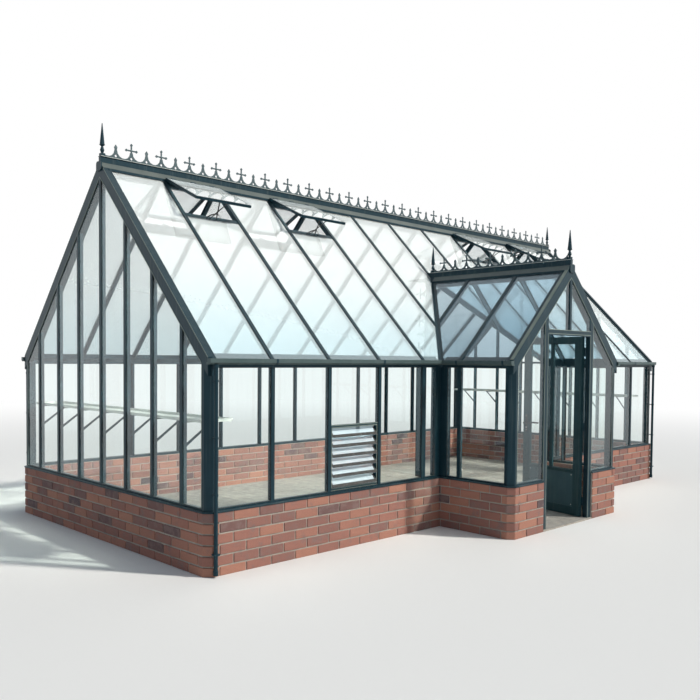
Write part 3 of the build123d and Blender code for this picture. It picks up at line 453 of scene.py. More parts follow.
    @staticmethod
    def set_tone(piece: Piece, tone: float) -> None:
        """Store one tone on a piece, for its material to read."""
        attribute = piece.data.attributes.new("tone", "FLOAT", "POINT")
        attribute.data.foreach_set("value", [tone] * len(piece.data.vertices))

    @staticmethod
    def smooth(piece: Piece, degrees: float = 40.0) -> None:
        """Shade a piece smooth where it turns by less than an angle."""
        Bench.select([piece])
        bpy.ops.object.shade_smooth_by_angle(angle=math.radians(degrees))

    @staticmethod
    def finish(piece: Piece, material: bpy.types.Material, body: Body, slot: Slot) -> None:
        """Give a piece its material and body, and report it.

        Args:
            piece: the piece.
            material: its finish.
            body: what it moves with.
            slot: the record's slot, not used.
        """
        piece.data.materials.clear()
        piece.data.materials.append(material)
        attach(piece, body.value)
        log.info("%s: %d faces", piece.name, len(piece.data.polygons))


def columns(x: Iterable[float], y: Iterable[float], z: Iterable[float], place: Iterable[float]) -> Matrix:
    """The matrix that has three directions and a place as its columns."""
    return Matrix([*zip(x, y, z, place), (0, 0, 0, 1)])


def placed(place: Iterable[float], quarters: int = 0, axis: str = "Z") -> Matrix:
    """Where a part goes that turns by some right angles at the origin and then moves to a place."""
    return Matrix.Translation(place) @ Matrix.Rotation(quarters * math.pi / 2, 4, axis)


def laid(start: Iterable[float], end: Iterable[float], out: Iterable[float]) -> Matrix:
    """Where a strip one metre long lies, from X 0 to 1 with its back at Z 0.

    Args:
        start: where its X 0 goes.
        end: where its X 1 goes.
        out: which way its Z faces.

    Returns:
        The matrix, stretched along the strip only.
    """
    start, out = Vector(start), Vector(out)
    run = Vector(end) - start
    along = run.normalized()
    face = (out - along * out.dot(along)).normalized()
    return columns(run, face.cross(along), face, start)


def standing(place: Iterable[float], out: Iterable[float]) -> Matrix:
    """Where a small part modelled on the XY plane stands, with its Z facing out."""
    return Matrix.Translation(place) @ Vector(out).to_track_quat("Z", "Y").to_matrix().to_4x4()


def ring(ends: Span, heights: Span, y: float, out: Iterable[float], width: float) -> Iterator[Matrix]:
    """Where the four strips inside the edge of an upright rectangle lie.

    Args:
        ends: its lower and upper X.
        heights: its lower and upper Z.
        y: the face that they lie on.
        out: where they face.
        width: width of the strips.

    Returns:
        Their places.
    """
    (left, right), (low, top), half = ends, heights, width / 2
    yield from (laid((x, y, low), (x, y, top), out) for x in (left + half, right - half))
    yield from (laid((left, y, z), (right, y, z), out) for z in (low + half, top - half))


class Recipe:
    """A material's nodes, with short ways to add and link them."""

    def __init__(self, name: str, tree: bpy.types.NodeTree | None = None) -> None:
        """Start an empty material with a Principled shader, or go on in a given tree.

        Args:
            name: the material's name.
            tree: a node group's tree to fill instead.
        """
        self.tree = tree
        if tree is None:
            self.material = bpy.data.materials.new(name)
            self.material.use_nodes = True
            self.tree = self.material.node_tree
            self.tree.nodes.clear()
            self.output = self.add("ShaderNodeOutputMaterial")
            self.shader = self.add("ShaderNodeBsdfPrincipled")
            self.link(self.shader.outputs["BSDF"], self.output.inputs["Surface"])

    def add(self, kind: str, **settings: object) -> bpy.types.Node:
        """Add a node.

        Args:
            kind: the node's type.
            **settings: its own properties.

        Returns:
            The node.
        """
        node = self.tree.nodes.new(kind)
        for name, value in settings.items():
            setattr(node, name, value)
        return node

    def link(self, source: Socket, target: Socket) -> None:
        """Link two sockets."""
        self.tree.links.new(source, target)

    def put(self, target: Socket, value: object) -> None:
        """Link a socket to a target, or set a plain value on it.

        Args:
            target: the input.
            value: a socket, a number or a colour.
        """
        if isinstance(value, Socket):
            self.link(value, target)
        elif isinstance(value, tuple) and len(value) == 3 and target.type == "RGBA":
            target.default_value = (*value, 1)
        else:
            target.default_value = value

    def feed(self, node: bpy.types.Node, values: dict[str | int, object]) -> None:
        """Put sockets, numbers or colours on a node's inputs, by their names or places."""
        for key, value in values.items():
            self.put(node.inputs[key], value)

    def dress(self, values: dict[str, object]) -> None:
        """Put sockets, numbers or colours on the Principled shader's inputs."""
        self.feed(self.shader, values)

    def math(self, operation: str, a: object, b: object = 0.0, clamp: bool = False) -> Socket:
        """Number worked out from two others.

        Args:
            operation: the Math node's operation.
            a: first value.
            b: second value.
            clamp: keep the result from 0 to 1.

        Returns:
            The result's socket.
        """
        node = self.add("ShaderNodeMath", operation=operation, use_clamp=clamp)
        self.feed(node, {0: a, 1: b})
        return node.outputs[0]

    def span(self, value: object, low: float, high: float, to_low: float = 0.0,
             to_high: float = 1.0) -> Socket:
        """A value moved smoothly from one range to another.

        Args:
            value: the value.
            low: start of its range.
            high: end of its range.
            to_low: what the start becomes.
            to_high: what the end becomes.

        Returns:
            The result's socket.
        """
        node = self.add("ShaderNodeMapRange", interpolation_type="SMOOTHSTEP")
        self.feed(node, dict(enumerate((value, low, high, to_low, to_high))))
        return node.outputs[0]

    def mixed(self, amount: object, first: object, second: object) -> Socket:
        """Two colours mixed.

        Args:
            amount: share of the second.
            first: colour or socket.
            second: colour or socket.

        Returns:
            The colour's socket.
        """
        node = self.add("ShaderNodeMix", data_type="RGBA")
        self.feed(node, {0: amount, 6: first, 7: second})
        return node.outputs[2]

    def noise(self, vector: Socket, scale: object, detail: float, roughness: float) -> Socket:
        """Noise value over the surface.

        Args:
            vector: coordinates.
            scale: repeats in a metre, or a socket that gives them.
            detail: octaves.
            roughness: strength of the fine octaves.

        Returns:
            The value's socket.
        """
        node = self.add("ShaderNodeTexNoise")
        self.feed(node, {"Vector": vector, "Scale": scale, "Detail": detail, "Roughness": roughness})
        return node.outputs[0]

    def place(self, stretch: Point = (1.0, 1.0, 1.0)) -> Socket:
        """The piece's own coordinates, in metres.

        Args:
            stretch: scale along each axis.

        Returns:
            The vector's socket.
        """
        source = self.add("ShaderNodeTexCoord").outputs["Object"]
        if stretch == (1.0, 1.0, 1.0):
            return source
        node = self.add("ShaderNodeMapping")
        self.feed(node, {"Vector": source, "Scale": stretch})
        return node.outputs[0]

    def tone(self) -> Socket:
        """The tone that is stored on the piece."""
        return self.add("ShaderNodeAttribute", attribute_name="tone").outputs["Fac"]

    def choose(self, share: Socket, other: Socket) -> None:
        """Mix another shader over the Principled one.

        Args:
            share: share of the other shader.
            other: its output.
        """
        choice = self.add("ShaderNodeMixShader")
        self.feed(choice, {0: share, 1: self.shader.outputs["BSDF"], 2: other})
        self.link(choice.outputs[0], self.output.inputs["Surface"])

    def bump(self, height: Socket, strength: float, distance: float) -> Socket:
        """A bump's normal.

        Args:
            height: height from 0 to 1.
            strength: share of the effect.
            distance: real height in metres.

        Returns:
            The normal's socket.
        """
        node = self.add("ShaderNodeBump")
        self.feed(node, {"Strength": strength, "Distance": distance, "Height": height})
        return node.outputs[0]


class Effects:
    """Node groups that several finishes share, each made once.

    A noise is given by its repeats in a metre, its octaves and the strength of the fine ones.
    """

    mottle = (5.0, 4.0, 0.55)
    specks = (38.0, 6.0, 0.7)
    drips = (1.0, 3.0, 0.55)
    grain = (420.0, 5.0, 0.7)
    blotches = (11.0, 5.0, 0.62)
    coarse = (60.0, 4.0, 0.6)
    drip_stretch = (46.0, 46.0, 1.3)
    pits_in_metre = 130.0
    fine_share = 0.35
    facing_up = (0.35, 0.95)
    speck_range = (0.42, 0.72)
    drip_range = (0.5, 0.74)
    pit_range = (0.05, 0.24)
    grain_range = (0.2, 0.8)
    relief = 0.7

    @staticmethod
    def start(name: str, inputs: dict[str, float],
              outputs: tuple[str, ...]) -> tuple[Recipe, bpy.types.Node, bpy.types.Node]:
        """Start a node group with named values in and out.

        Args:
            name: the group's name.
            inputs: name and default of each input.
            outputs: names of the outputs.

        Returns:
            The group's recipe, its input node and its output node.
        """
        tree = bpy.data.node_groups.new(name, "ShaderNodeTree")
        for label, value in inputs.items():
            socket = tree.interface.new_socket(name=label, in_out="INPUT", socket_type="NodeSocketFloat")
            socket.default_value = value
        for label in outputs:
            tree.interface.new_socket(name=label, in_out="OUTPUT", socket_type="NodeSocketFloat")
        recipe = Recipe(name, tree)
        return recipe, recipe.add("NodeGroupInput"), recipe.add("NodeGroupOutput")

    @staticmethod
    @cache
    def weather() -> bpy.types.NodeTree:
        """Rain streaks, dust on what faces up, soft mottling and a fine orange-peel height.

        Returns:
            The group.
        """
        inputs = {"Dust": 0.4, "Streaks": 0.3, "Peel Scale": 700.0}
        recipe, given, result = Effects.start("weather", inputs, ("Mottle", "Dust", "Streaks", "Peel"))
        where = recipe.place()
        normal = recipe.add("ShaderNodeSeparateXYZ")
        recipe.link(recipe.add("ShaderNodeNewGeometry").outputs["Normal"], normal.inputs[0])
        up = recipe.span(normal.outputs["Z"], *Effects.facing_up)
        specks = recipe.span(recipe.noise(where, *Effects.specks), *Effects.speck_range)
        dust = recipe.math("MULTIPLY", recipe.math("MULTIPLY", up, specks), given.outputs["Dust"])
        upright = recipe.math("SUBTRACT", 1.0, recipe.math("ABSOLUTE", normal.outputs["Z"]), True)
        drips = recipe.noise(recipe.place(Effects.drip_stretch), *Effects.drips)
        runs = recipe.math("MULTIPLY", recipe.span(drips, *Effects.drip_range), upright)
        streaks = recipe.math("MULTIPLY", runs, given.outputs["Streaks"])
        peel = recipe.noise(where, given.outputs["Peel Scale"], 2.0, 0.5)
        mottle = recipe.noise(where, *Effects.mottle)
        recipe.feed(result, {"Mottle": mottle, "Dust": dust, "Streaks": streaks, "Peel": peel})
        return recipe.tree

    @staticmethod
    @cache
    def grit() -> bpy.types.NodeTree:
        """Sandy grain, small pits and broad blotches of fired or cast material.

        Returns:
            The group.
        """
        recipe, given, result = Effects.start("grit", {"Pits": 0.5}, ("Grain", "Blotch", "Height"))
        where = recipe.place()
        grain = recipe.noise(where, *Effects.grain)
        blotch = recipe.noise(where, *Effects.blotches)
        cells = recipe.add("ShaderNodeTexVoronoi", feature="F1")
        recipe.feed(cells, {"Vector": where, "Scale": Effects.pits_in_metre})
        pits = recipe.span(cells.outputs["Distance"], *Effects.pit_range)
        hollow = recipe.math("MULTIPLY", recipe.math("SUBTRACT", 1.0, pits), given.outputs["Pits"])
        coarse = recipe.noise(where, *Effects.coarse)
        rise = recipe.math("ADD", coarse, recipe.math("MULTIPLY", grain, Effects.fine_share))
        height = recipe.math("SUBTRACT", rise, hollow)
        recipe.feed(result, {"Grain": grain, "Blotch": blotch, "Height": height})
        return recipe.tree


def sandy(recipe: Recipe, effect: bpy.types.Node, colour: Socket, roughness: Span, depth: float) -> None:
    """Dress a material as fired or cast stuff with a grainy, pitted face.

    Args:
        recipe: the material's recipe.
        effect: its grit.
        colour: its colour.
        roughness: roughness from the finest to the coarsest grain.
        depth: height of the grain in metres.
    """
    recipe.dress({"Base Color": colour,
                  "Roughness": recipe.span(effect.outputs["Grain"], *Effects.grain_range, *roughness),
                  "Normal": recipe.bump(effect.outputs["Height"], Effects.relief, depth)})


def placed_group(recipe: Recipe, tree: bpy.types.NodeTree, **values: float) -> bpy.types.Node:
    """Put a shared effect into a material.

    Args:
        recipe: the material's recipe.
        tree: the group.
        **values: its inputs, with underscores for spaces.

    Returns:
        The group node.
    """
    node = recipe.add("ShaderNodeGroup", node_tree=tree)
    for name, value in values.items():
        node.inputs[name.replace("_", " ").title()].default_value = value
    return node


@dataclass(frozen=True)
class Coating:
    """Powder coat on aluminium: even colour with dust, rain streaks and orange peel."""

    name: str
    colour: Colour
    faded: Colour
    dust_colour: Colour = (0.20, 0.23, 0.21)
    roughness: float = 0.34
    dust: float = 0.16
    streaks: float = 0.12
    sheen: float = 0.28
    # Blue tint on the coat's white reflections: painted sky reflection.
    sky_reflection_tint: Colour = (0.62, 0.86, 1.0)
    fade_range: Span = (0.3, 0.7)
    film_gloss: float = 0.5
    peel: float = 0.4
    peel_depth: float = 0.00012

    def make(self) -> bpy.types.Material:
        """Build the material.

        Returns:
            The material.
        """
        recipe = Recipe(self.name)
        effect = placed_group(recipe, Effects.weather(), dust=self.dust, streaks=self.streaks)
        fading = recipe.span(effect.outputs["Mottle"], *self.fade_range)
        colour = recipe.mixed(fading, self.colour, self.faded)
        for layer in ("Streaks", "Dust"):
            colour = recipe.mixed(effect.outputs[layer], colour, self.dust_colour)
        film = recipe.math("ADD", effect.outputs["Streaks"], effect.outputs["Dust"])
        rough = recipe.math("ADD", recipe.math("MULTIPLY", film, self.film_gloss), self.roughness, True)
        recipe.dress({"Base Color": colour, "Roughness": rough, "Specular IOR Level": self.sheen,
                      "Specular Tint": self.sky_reflection_tint,
                      "Normal": recipe.bump(effect.outputs["Peel"], self.peel, self.peel_depth)})
        return recipe.material


@dataclass(frozen=True)
class Pane:
    """Float glass: clear to lamps, with a faint rain film; its colour is the glass's tint with painted
    reflection in it, which may pale from the bottom towards its top.
    """

    name: str
    # The colours below are the glass's tint with painted reflection in it: darker low down where a lower
    # colour is given, fading to the upper one between two heights.
    tint_and_reflection: Colour
    low_reflection_tint: Colour | None = None
    reflection_fade_from: float = 1.6
    reflection_fade_to: float = 2.7
    lamp_tint: Colour = (0.93, 0.96, 0.95)
    clean: float = 0.0
    filmed: float = 0.05
    weight: float = 1.0
    dust: float = 0.25
    streaks: float = 0.3
    film_range: Span = (0.15, 1.0)
    film_share: float = 0.5
    cloudiness: float = 0.9
    bending: float = 1.42
    # Blue tint on the glass's white reflections: painted sky reflection.
    sky_reflection_tint: Colour = (0.72, 0.90, 1.0)

    def make(self) -> bpy.types.Material:
        """Build the material.

        Returns:
            The material.
        """
        recipe = Recipe(self.name)
        effect = placed_group(recipe, Effects.weather(), dust=self.dust, streaks=self.streaks)
        film = recipe.math("ADD", effect.outputs["Streaks"], effect.outputs["Dust"], True)
        tint_and_reflection = self.tint_and_reflection
        # Painted reflection: the colour changes with height, from the lower colour to the upper one.
        if self.low_reflection_tint:
            height = recipe.add("ShaderNodeSeparateXYZ")
            recipe.link(recipe.place(), height.inputs[0])
            rise = recipe.span(height.outputs["Z"], self.reflection_fade_from, self.reflection_fade_to)
            tint_and_reflection = recipe.mixed(rise, self.low_reflection_tint, self.tint_and_reflection)
        cloud = tuple(c * self.cloudiness for c in self.low_reflection_tint or self.tint_and_reflection)
        dirt = recipe.math("MULTIPLY", film, self.film_share)
        recipe.dress({"Base Color": recipe.mixed(dirt, tint_and_reflection, cloud),
                      "Roughness": recipe.span(film, *self.film_range, self.clean, self.filmed),
                      "Transmission Weight": self.weight, "IOR": self.bending,
                      "Specular Tint": self.sky_reflection_tint})
        clear = recipe.add("ShaderNodeBsdfTransparent")
        recipe.feed(clear, {"Color": self.lamp_tint})
        shadow = recipe.add("ShaderNodeLightPath").outputs["Is Shadow Ray"]
        recipe.choose(shadow, clear.outputs["BSDF"])
        return recipe.material


@dataclass(frozen=True)
class FiredBrick:
    """Sand-faced brick: each has its own tone, from blue-black to orange, some with a grey-mauve flash."""

    name: str = "fired_brick"
    black: Colour = (0.10, 0.078, 0.088)
    dark: Colour = (0.245, 0.128, 0.112)
    red: Colour = (0.34, 0.162, 0.130)
    bright: Colour = (0.43, 0.215, 0.155)
    flash: Colour = (0.225, 0.155, 0.148)
    dark_tone: float = 0.14
    red_tone: float = 0.6
    tone_shift: float = -0.18
    flash_range: Span = (0.42, 0.60)
    flash_share: float = 0.75
    grain_range: Span = (0.35, 0.75)
    grain_dark: Colour = (0.8, 0.78, 0.76)
    grain_light: Colour = (1.15, 1.12, 1.08)
    pits: float = 0.5
    roughness: Span = (0.78, 0.95)
    depth: float = 0.0016
    sheen: float = 0.3

    def make(self) -> bpy.types.Material:
        """Build the material.

        Returns:
            The material.
        """
        recipe = Recipe(self.name)
        effect = placed_group(recipe, Effects.grit(), pits=self.pits)
        tone = recipe.tone()
        ramp = recipe.add("ShaderNodeValToRGB")
        recipe.link(tone, ramp.inputs[0])
        stops = ramp.color_ramp.elements
        stops[0].color = (*self.black, 1)
        stops[1].color = (*self.bright, 1)
        stops.new(self.dark_tone).color = (*self.dark, 1)
        stops.new(self.red_tone).color = (*self.red, 1)
        burnt = recipe.math("ADD", effect.outputs["Blotch"], recipe.math("MULTIPLY", tone, self.tone_shift))
        flashed = recipe.span(burnt, *self.flash_range, 0.0, self.flash_share)
        colour = recipe.mixed(flashed, ramp.outputs["Color"], self.flash)
        grain = recipe.span(effect.outputs["Grain"], *self.grain_range)
        light = recipe.mixed(grain, self.grain_dark, self.grain_light)
        shade = recipe.add("ShaderNodeMix", data_type="RGBA", blend_type="MULTIPLY")
        recipe.feed(shade, {0: 1.0, 6: colour, 7: light})
        sandy(recipe, effect, shade.outputs[2], self.roughness, self.depth)
        recipe.dress({"Specular IOR Level": self.sheen})
        return recipe.material


@dataclass(frozen=True)
class Stone:
    """Mortar or a cast slab: sandy, pitted and blotched."""

    name: str
    light: Colour
    dark: Colour
    pits: float = 0.3
    depth: float = 0.0015
    toned: bool = False
    tone_share: float = 0.45
    blotch_range: Span = (0.3, 0.7)
    grain_range: Span = (0.3, 0.75)
    grain_share: float = 0.35
    grain_shade: float = 0.72
    roughness: Span = (0.8, 0.96)

    def make(self) -> bpy.types.Material:
        """Build the material.

        Returns:
            The material.
        """
        recipe = Recipe(self.name)
        effect = placed_group(recipe, Effects.grit(), pits=self.pits)
        blotch = recipe.span(effect.outputs["Blotch"], *self.blotch_range)
        colour = recipe.mixed(blotch, self.light, self.dark)
        if self.toned:
            colour = recipe.mixed(recipe.math("MULTIPLY", recipe.tone(), self.tone_share), colour, self.dark)
        grain = recipe.span(effect.outputs["Grain"], *self.grain_range)
        shade = tuple(c * self.grain_shade for c in self.dark)
        colour = recipe.mixed(recipe.math("MULTIPLY", grain, self.grain_share), colour, shade)
        sandy(recipe, effect, colour, self.roughness, self.depth)
        return recipe.material


@dataclass(frozen=True)
class Plain:
    """Small parts of rubber, plastic or bare metal, with fine wear in their gloss."""

    name: str
    colour: Colour
    roughness: float
    metallic: float = 0.0
    worn: Colour = (0.2, 0.2, 0.2)
    wear: float = 0.18
    wear_share: float = 0.3
    wear_range: Span = (0.45, 0.75)
    gloss_range: Span = (0.2, 0.8)
    dust: float = 0.3
    streaks: float = 0.15
    peel_scale: float = 1500.0
    peel: float = 0.25
    dust_colour: Colour = (0.4, 0.4, 0.38)
    peel_depth: float = 0.0001

    def make(self) -> bpy.types.Material:
        """Build the material.

        Returns:
            The material.
        """
        recipe = Recipe(self.name)
        effect = placed_group(recipe, Effects.weather(), dust=self.dust, streaks=self.streaks,
                              peel_scale=self.peel_scale)
        mark = recipe.span(effect.outputs["Mottle"], *self.wear_range)
        colour = recipe.mixed(recipe.math("MULTIPLY", mark, self.wear_share), self.colour, self.worn)
        dull = min(1.0, self.roughness + self.wear)
        rough = recipe.span(effect.outputs["Mottle"], *self.gloss_range, self.roughness, dull)
        recipe.dress({"Base Color": recipe.mixed(effect.outputs["Dust"], colour, self.dust_colour),
                      "Roughness": rough, "Metallic": self.metallic,
                      "Normal": recipe.bump(effect.outputs["Peel"], self.peel, self.peel_depth)})
        return recipe.material


class Palette:
    """Every finish of the greenhouse, made once."""

    def __init__(self) -> None:
        """Make the materials."""
        self.coat = Coating("green_coat", (0.006, 0.023, 0.033), (0.009, 0.030, 0.042)).make()
        self.crest = Coating("crest_coat", (0.075, 0.105, 0.115), (0.10, 0.135, 0.145), dust=0.3).make()
        self.gutter = Coating("gutter_coat", (0.055, 0.085, 0.085), (0.075, 0.105, 0.105),
                              roughness=0.42).make()
        # A lighter copy of the frame coat for the door: painted light that makes up for the shade on the
        # open door.
        self.door_coat_lightened = Coating("door_coat_lightened", (0.014, 0.043, 0.052), (0.020, 0.056, 0.066)).make()
        self.panel = Coating("panel_coat", (0.034, 0.074, 0.090), (0.042, 0.088, 0.106),
                             roughness=0.4).make()
        # Pale coat of the strips along the frame's edges: painted highlights.
        self.edge = Coating("edge_highlight_coat", (0.17, 0.215, 0.185), (0.23, 0.27, 0.235), roughness=0.4).make()
        # Lighter coat on the ridge caps' sloping skirts: painted light where they face the sky.
        self.skirt_light = Coating("skirt_light_coat", (0.10, 0.12, 0.115), (0.13, 0.15, 0.14),
                                roughness=0.4).make()
        # Pale coat of the shelves, also used on the strips along the ridge caps' flange edges, which are
        # painted highlights.
        self.tray_and_highlight = Coating("tray_and_highlight_coat", (0.48, 0.52, 0.50), (0.56, 0.59, 0.57), roughness=0.45).make()
        # Roof glass colours are partly painted reflection: the main roof pales towards the ridge, and the
        # porch roof is blue-grey, darker low down, for the darker sky that it faces.
        self.roof_glass = Pane("roof_glass", (0.95, 0.99, 1.0), (0.78, 0.92, 0.97), weight=0.74).make()
        self.porch_roof_glass = Pane("porch_roof_glass", (0.70, 0.84, 0.92), (0.42, 0.55, 0.63),
                                     weight=0.9).make()
        self.wall_glass = Pane("wall_glass", (0.93, 0.975, 0.97), dust=0.1).make()
        # The pale blue of the louvre blades is a painted reflection of the sky in the tilted blades.
        self.louvre_glass = Pane("louvre_glass", (0.76, 0.88, 0.95),
                                 clean=0.02, filmed=0.1, weight=0.6).make()
        self.brick = FiredBrick().make()
        self.mortar = Stone("lime_mortar", (0.45, 0.405, 0.35), (0.30, 0.27, 0.24),
                            pits=0.2, depth=0.002).make()
        self.slab = Stone("stone_slab", (0.44, 0.41, 0.37), (0.28, 0.27, 0.25), toned=True).make()
        self.rubber = Plain("seal_rubber", (0.012, 0.013, 0.013), 0.6, worn=(0.05, 0.05, 0.05)).make()
        self.black = Plain("black_plastic", (0.015, 0.015, 0.016), 0.4, worn=(0.04, 0.04, 0.04)).make()
        self.steel = Plain("stainless_steel", (0.62, 0.62, 0.60), 0.28, 1.0, worn=(0.45, 0.45, 0.44)).make()

    def of_node(self, name: str) -> bpy.types.Material:
        """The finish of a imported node.

        Args:
            name: the node's name.

        Returns:
            Its material.
        """
        special = {"porch_roof_glass": self.porch_roof_glass, "louvre_blades": self.louvre_glass,
                   "gutters": self.gutter, "door_leaf": self.door_coat_lightened, "door_panel": self.panel,
                   "door_handle": self.black, "main_cresting": self.crest, "porch_cresting": self.crest,
                   "gable_shelves": self.tray_and_highlight, "vent_openers": self.black}
        if "glass" in name and name not in special:
            return self.roof_glass if "roof" in name or "vent" in name else self.wall_glass
        if name.endswith(("_wall", "_walls", "_piers")):
            return self.mortar
        if name.endswith("_floor"):
            return self.slab
        return special.get(name, self.coat)


@dataclass(frozen=True)
class Side:
    """One side of a brick wall: the outer corner it starts from, the way it runs and the way in."""

    corner: Vector
    along: Vector
    inward: Vector


@dataclass
class Brickwork:
    """Low half-brick walls in stretcher bond, with cut corner bricks and recessed joints."""

    palette: Palette
    course: float = 0.0833
    brick_height: float = 0.0705
    brick_pitch: float = 0.25
    joint: float = 0.01
    header: float = 0.12
    recess: float = 0.007
    edge: float = 0.0035
    rough: float = 0.0007
    half_brick: float = 0.125
    tones: Span = (0.0, 0.92)
    dark_corner: Span = (0.15, 0.6)
    light_corner: Span = (0.8, 0.95)
    seed: int = 71
    masters: dict[Span, Piece] = field(default_factory=dict)

    def __post_init__(self) -> None:
        """Start the seeded draw of tones and unevenness."""
        self.draw = random.Random(self.seed)

    @property
    def courses(self) -> int:
        """Number of courses, the lowest cut by the ground."""
        return math.ceil(house.wall_height / self.course)

    @property
    def slant(self) -> float:
        """How far the mortar's corners are cut, behind the corner bricks."""
        return house.corner_cut + self.recess * (2 - math.sqrt(2))

    def brick(self, length: float, height: float) -> Piece:
        """A brick lying along X from its left end, its outer face at Y 0.

        Args:
            length: its length.
            height: its height.

        Returns:
            The master, kept for all bricks of that size.
        """
        key = (round(length, 4), round(height, 4))
        if key not in self.masters:
            piece = Bench.block("brick", (0, 0, 0), (length, house.wall_thickness, height))
            Bench.divide(piece, cuts=2)
            Bench.bevel(piece, self.edge)
            self.masters[key] = piece
        return self.masters[key]

    def toned(self, piece: Piece, tones: Span) -> Piece:
        """Give a brick its own tone and uneven faces.

        Args:
            piece: the brick.
            tones: least and greatest tone.

        Returns:
            The brick.
        """
        Bench.set_tone(piece, self.draw.uniform(*tones))
        for vertex in piece.data.vertices:
            vertex.co += Vector([self.draw.uniform(-self.rough, self.rough) for _ in range(3)])
        return piece

    def course_span(self, row: int) -> Span:
        """Bottom and top of a course, counted from the top."""
        top = house.wall_height - row * self.course - self.rough
        return max(self.rough, top - self.brick_height), top

    def run(self, side: Side, row: int, start: float, end: float, count: int = 1) -> list[Piece]:
        """A stretch of equal bricks in one course.

        Args:
            side: the side that it belongs to.
            row: the course, from the top.
            start: where the stretch starts, from the side's corner.
            end: where it ends.
            count: number of bricks.

        Returns:
            The bricks.
        """
        low, top = self.course_span(row)
        pitch = (end - start) / count
        master = self.brick(pitch - self.joint, top - low)
        bricks = []
        for k in range(count):
            place = side.corner + side.along * (start + pitch * k + self.joint / 2) + Vector((0, 0, low))
            brick = Bench.copy(master, columns(side.along, side.inward, (0, 0, 1), place))
            bricks.append(self.toned(brick, self.tones))
        return bricks

    def corner(self, side: Side, row: int) -> Piece:
        """A corner brick that lies along a side, with its outer corner cut off.

        Args:
            side: the side, from the uncut corner.
            row: the course, from the top.

        Returns:
            The brick.
        """
        low, top = self.course_span(row)
        length = self.brick_pitch - self.joint / 2
        far = side.corner + side.along * length + side.inward * house.wall_thickness
        (x0, x1), (y0, y1) = sorted((side.corner.x, far.x)), sorted((side.corner.y, far.y))
        piece = Bench.block("corner_brick", (x0, y0, low), (x1, y1, top))
        Bench.cut(piece, side.corner + side.along * house.corner_cut, -(side.along + side.inward))
        Bench.divide(piece, cuts=1)
        Bench.bevel(piece, self.edge)
        return self.toned(piece, self.light_corner if row % 2 else self.dark_corner)

    def corners(self, side: Side) -> list[Piece]:
        """Corner bricks of all courses, the top one along the side and the next across it."""
        across = Side(side.corner, side.inward, side.along)
        return [self.corner(across if row % 2 else side, row) for row in range(self.courses)]

    def stretch(self, side: Side, length: float, both: bool, first_long: bool) -> list[Piece]:
        """All courses of one side, without its corner bricks.

        Args:
            side: the side.
            length: its length.
            both: true when it ends at another outer corner.
            first_long: true when the top course's corner brick runs along this side.

        Returns:
            The bricks.
        """
        bricks = []
        for row in range(self.courses):
            long_corner = (row % 2 == 0) == first_long
            start = self.brick_pitch if long_corner else self.header
            end = length - start if both else length
            if not both and not long_corner:
                end = length - self.half_brick
                bricks += self.run(side, row, end, length)
            bricks += self.run(side, row, start, end, max(1, round((end - start) / self.brick_pitch)))
        return bricks

    def core(self, x_ends: Span, y_low: float, y_high: float,
             cuts: Iterable[tuple[Vector, Vector]] = ()) -> Piece:
        """The mortar of one wall, set back from the bricks' faces.

        Args:
            x_ends: its two ends along X, in any order.
            y_low: its end nearest the porch.
            y_high: its other end.
            cuts: corners to cut, each a point and an outward direction.

        Returns:
            The mortar.
        """
        x_low, x_high = sorted(x_ends)
        piece = Bench.block("core", (x_low, y_low, 0), (x_high, y_high, house.wall_height))
        for point, outward in cuts:
            Bench.cut(piece, point, outward)
        Bench.divide(piece, cuts=3)
        return piece

    def main_house(self) -> None:
        """Bricks and mortar of the four sides of the main house."""
        x_out, x_in = house.faces(house.half_length)
        y_out, y_in = house.faces(house.half_width)
        porch_out = house.faces(house.porch_half)[0]
        right, up = Vector((1, 0, 0)), Vector((0, 1, 0))
        bricks = []
        for sign in (-1, 1):
            front, back = (Vector((sign * x_out, y, 0)) for y in (-y_out, y_out))
            inward = right * -sign
            bricks += self.corners(Side(front, inward, up))
            bricks += self.corners(Side(back, inward, -up))
            bricks += self.stretch(Side(front, inward, up), x_out - porch_out, False, True)
            bricks += self.stretch(Side(front, up, inward), 2 * y_out, True, False)
        bricks += self.stretch(Side(Vector((-x_out, y_out, 0)), right, -up), 2 * x_out, True, True)
        whole = Bench.join("house_bricks", bricks)
        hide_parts("left_wall", "right_wall", "back_wall", "front_walls")
        Bench.finish(whole, self.palette.brick, Body.HOUSE, Slot.BRICK)
        inset, cores = self.recess, []
        for sign in (-1, 1):
            face = sign * (x_out - inset)
            cuts = [(Vector((face, side * (y_out - inset - self.slant), 0)), Vector((sign, side, 0)))
                    for side in (-1, 1)]
            cores.append(self.core((face, sign * (x_in + inset)), -y_out + inset, y_out - inset, cuts))
            cores.append(self.core((sign * x_in, sign * porch_out), -y_out + inset, -y_in - inset))
        cores.append(self.core((-x_in, x_in), y_in + inset, y_out - inset))
        Bench.finish(Bench.join("house_mortar", cores), self.palette.mortar, Body.HOUSE, Slot.BRICK)

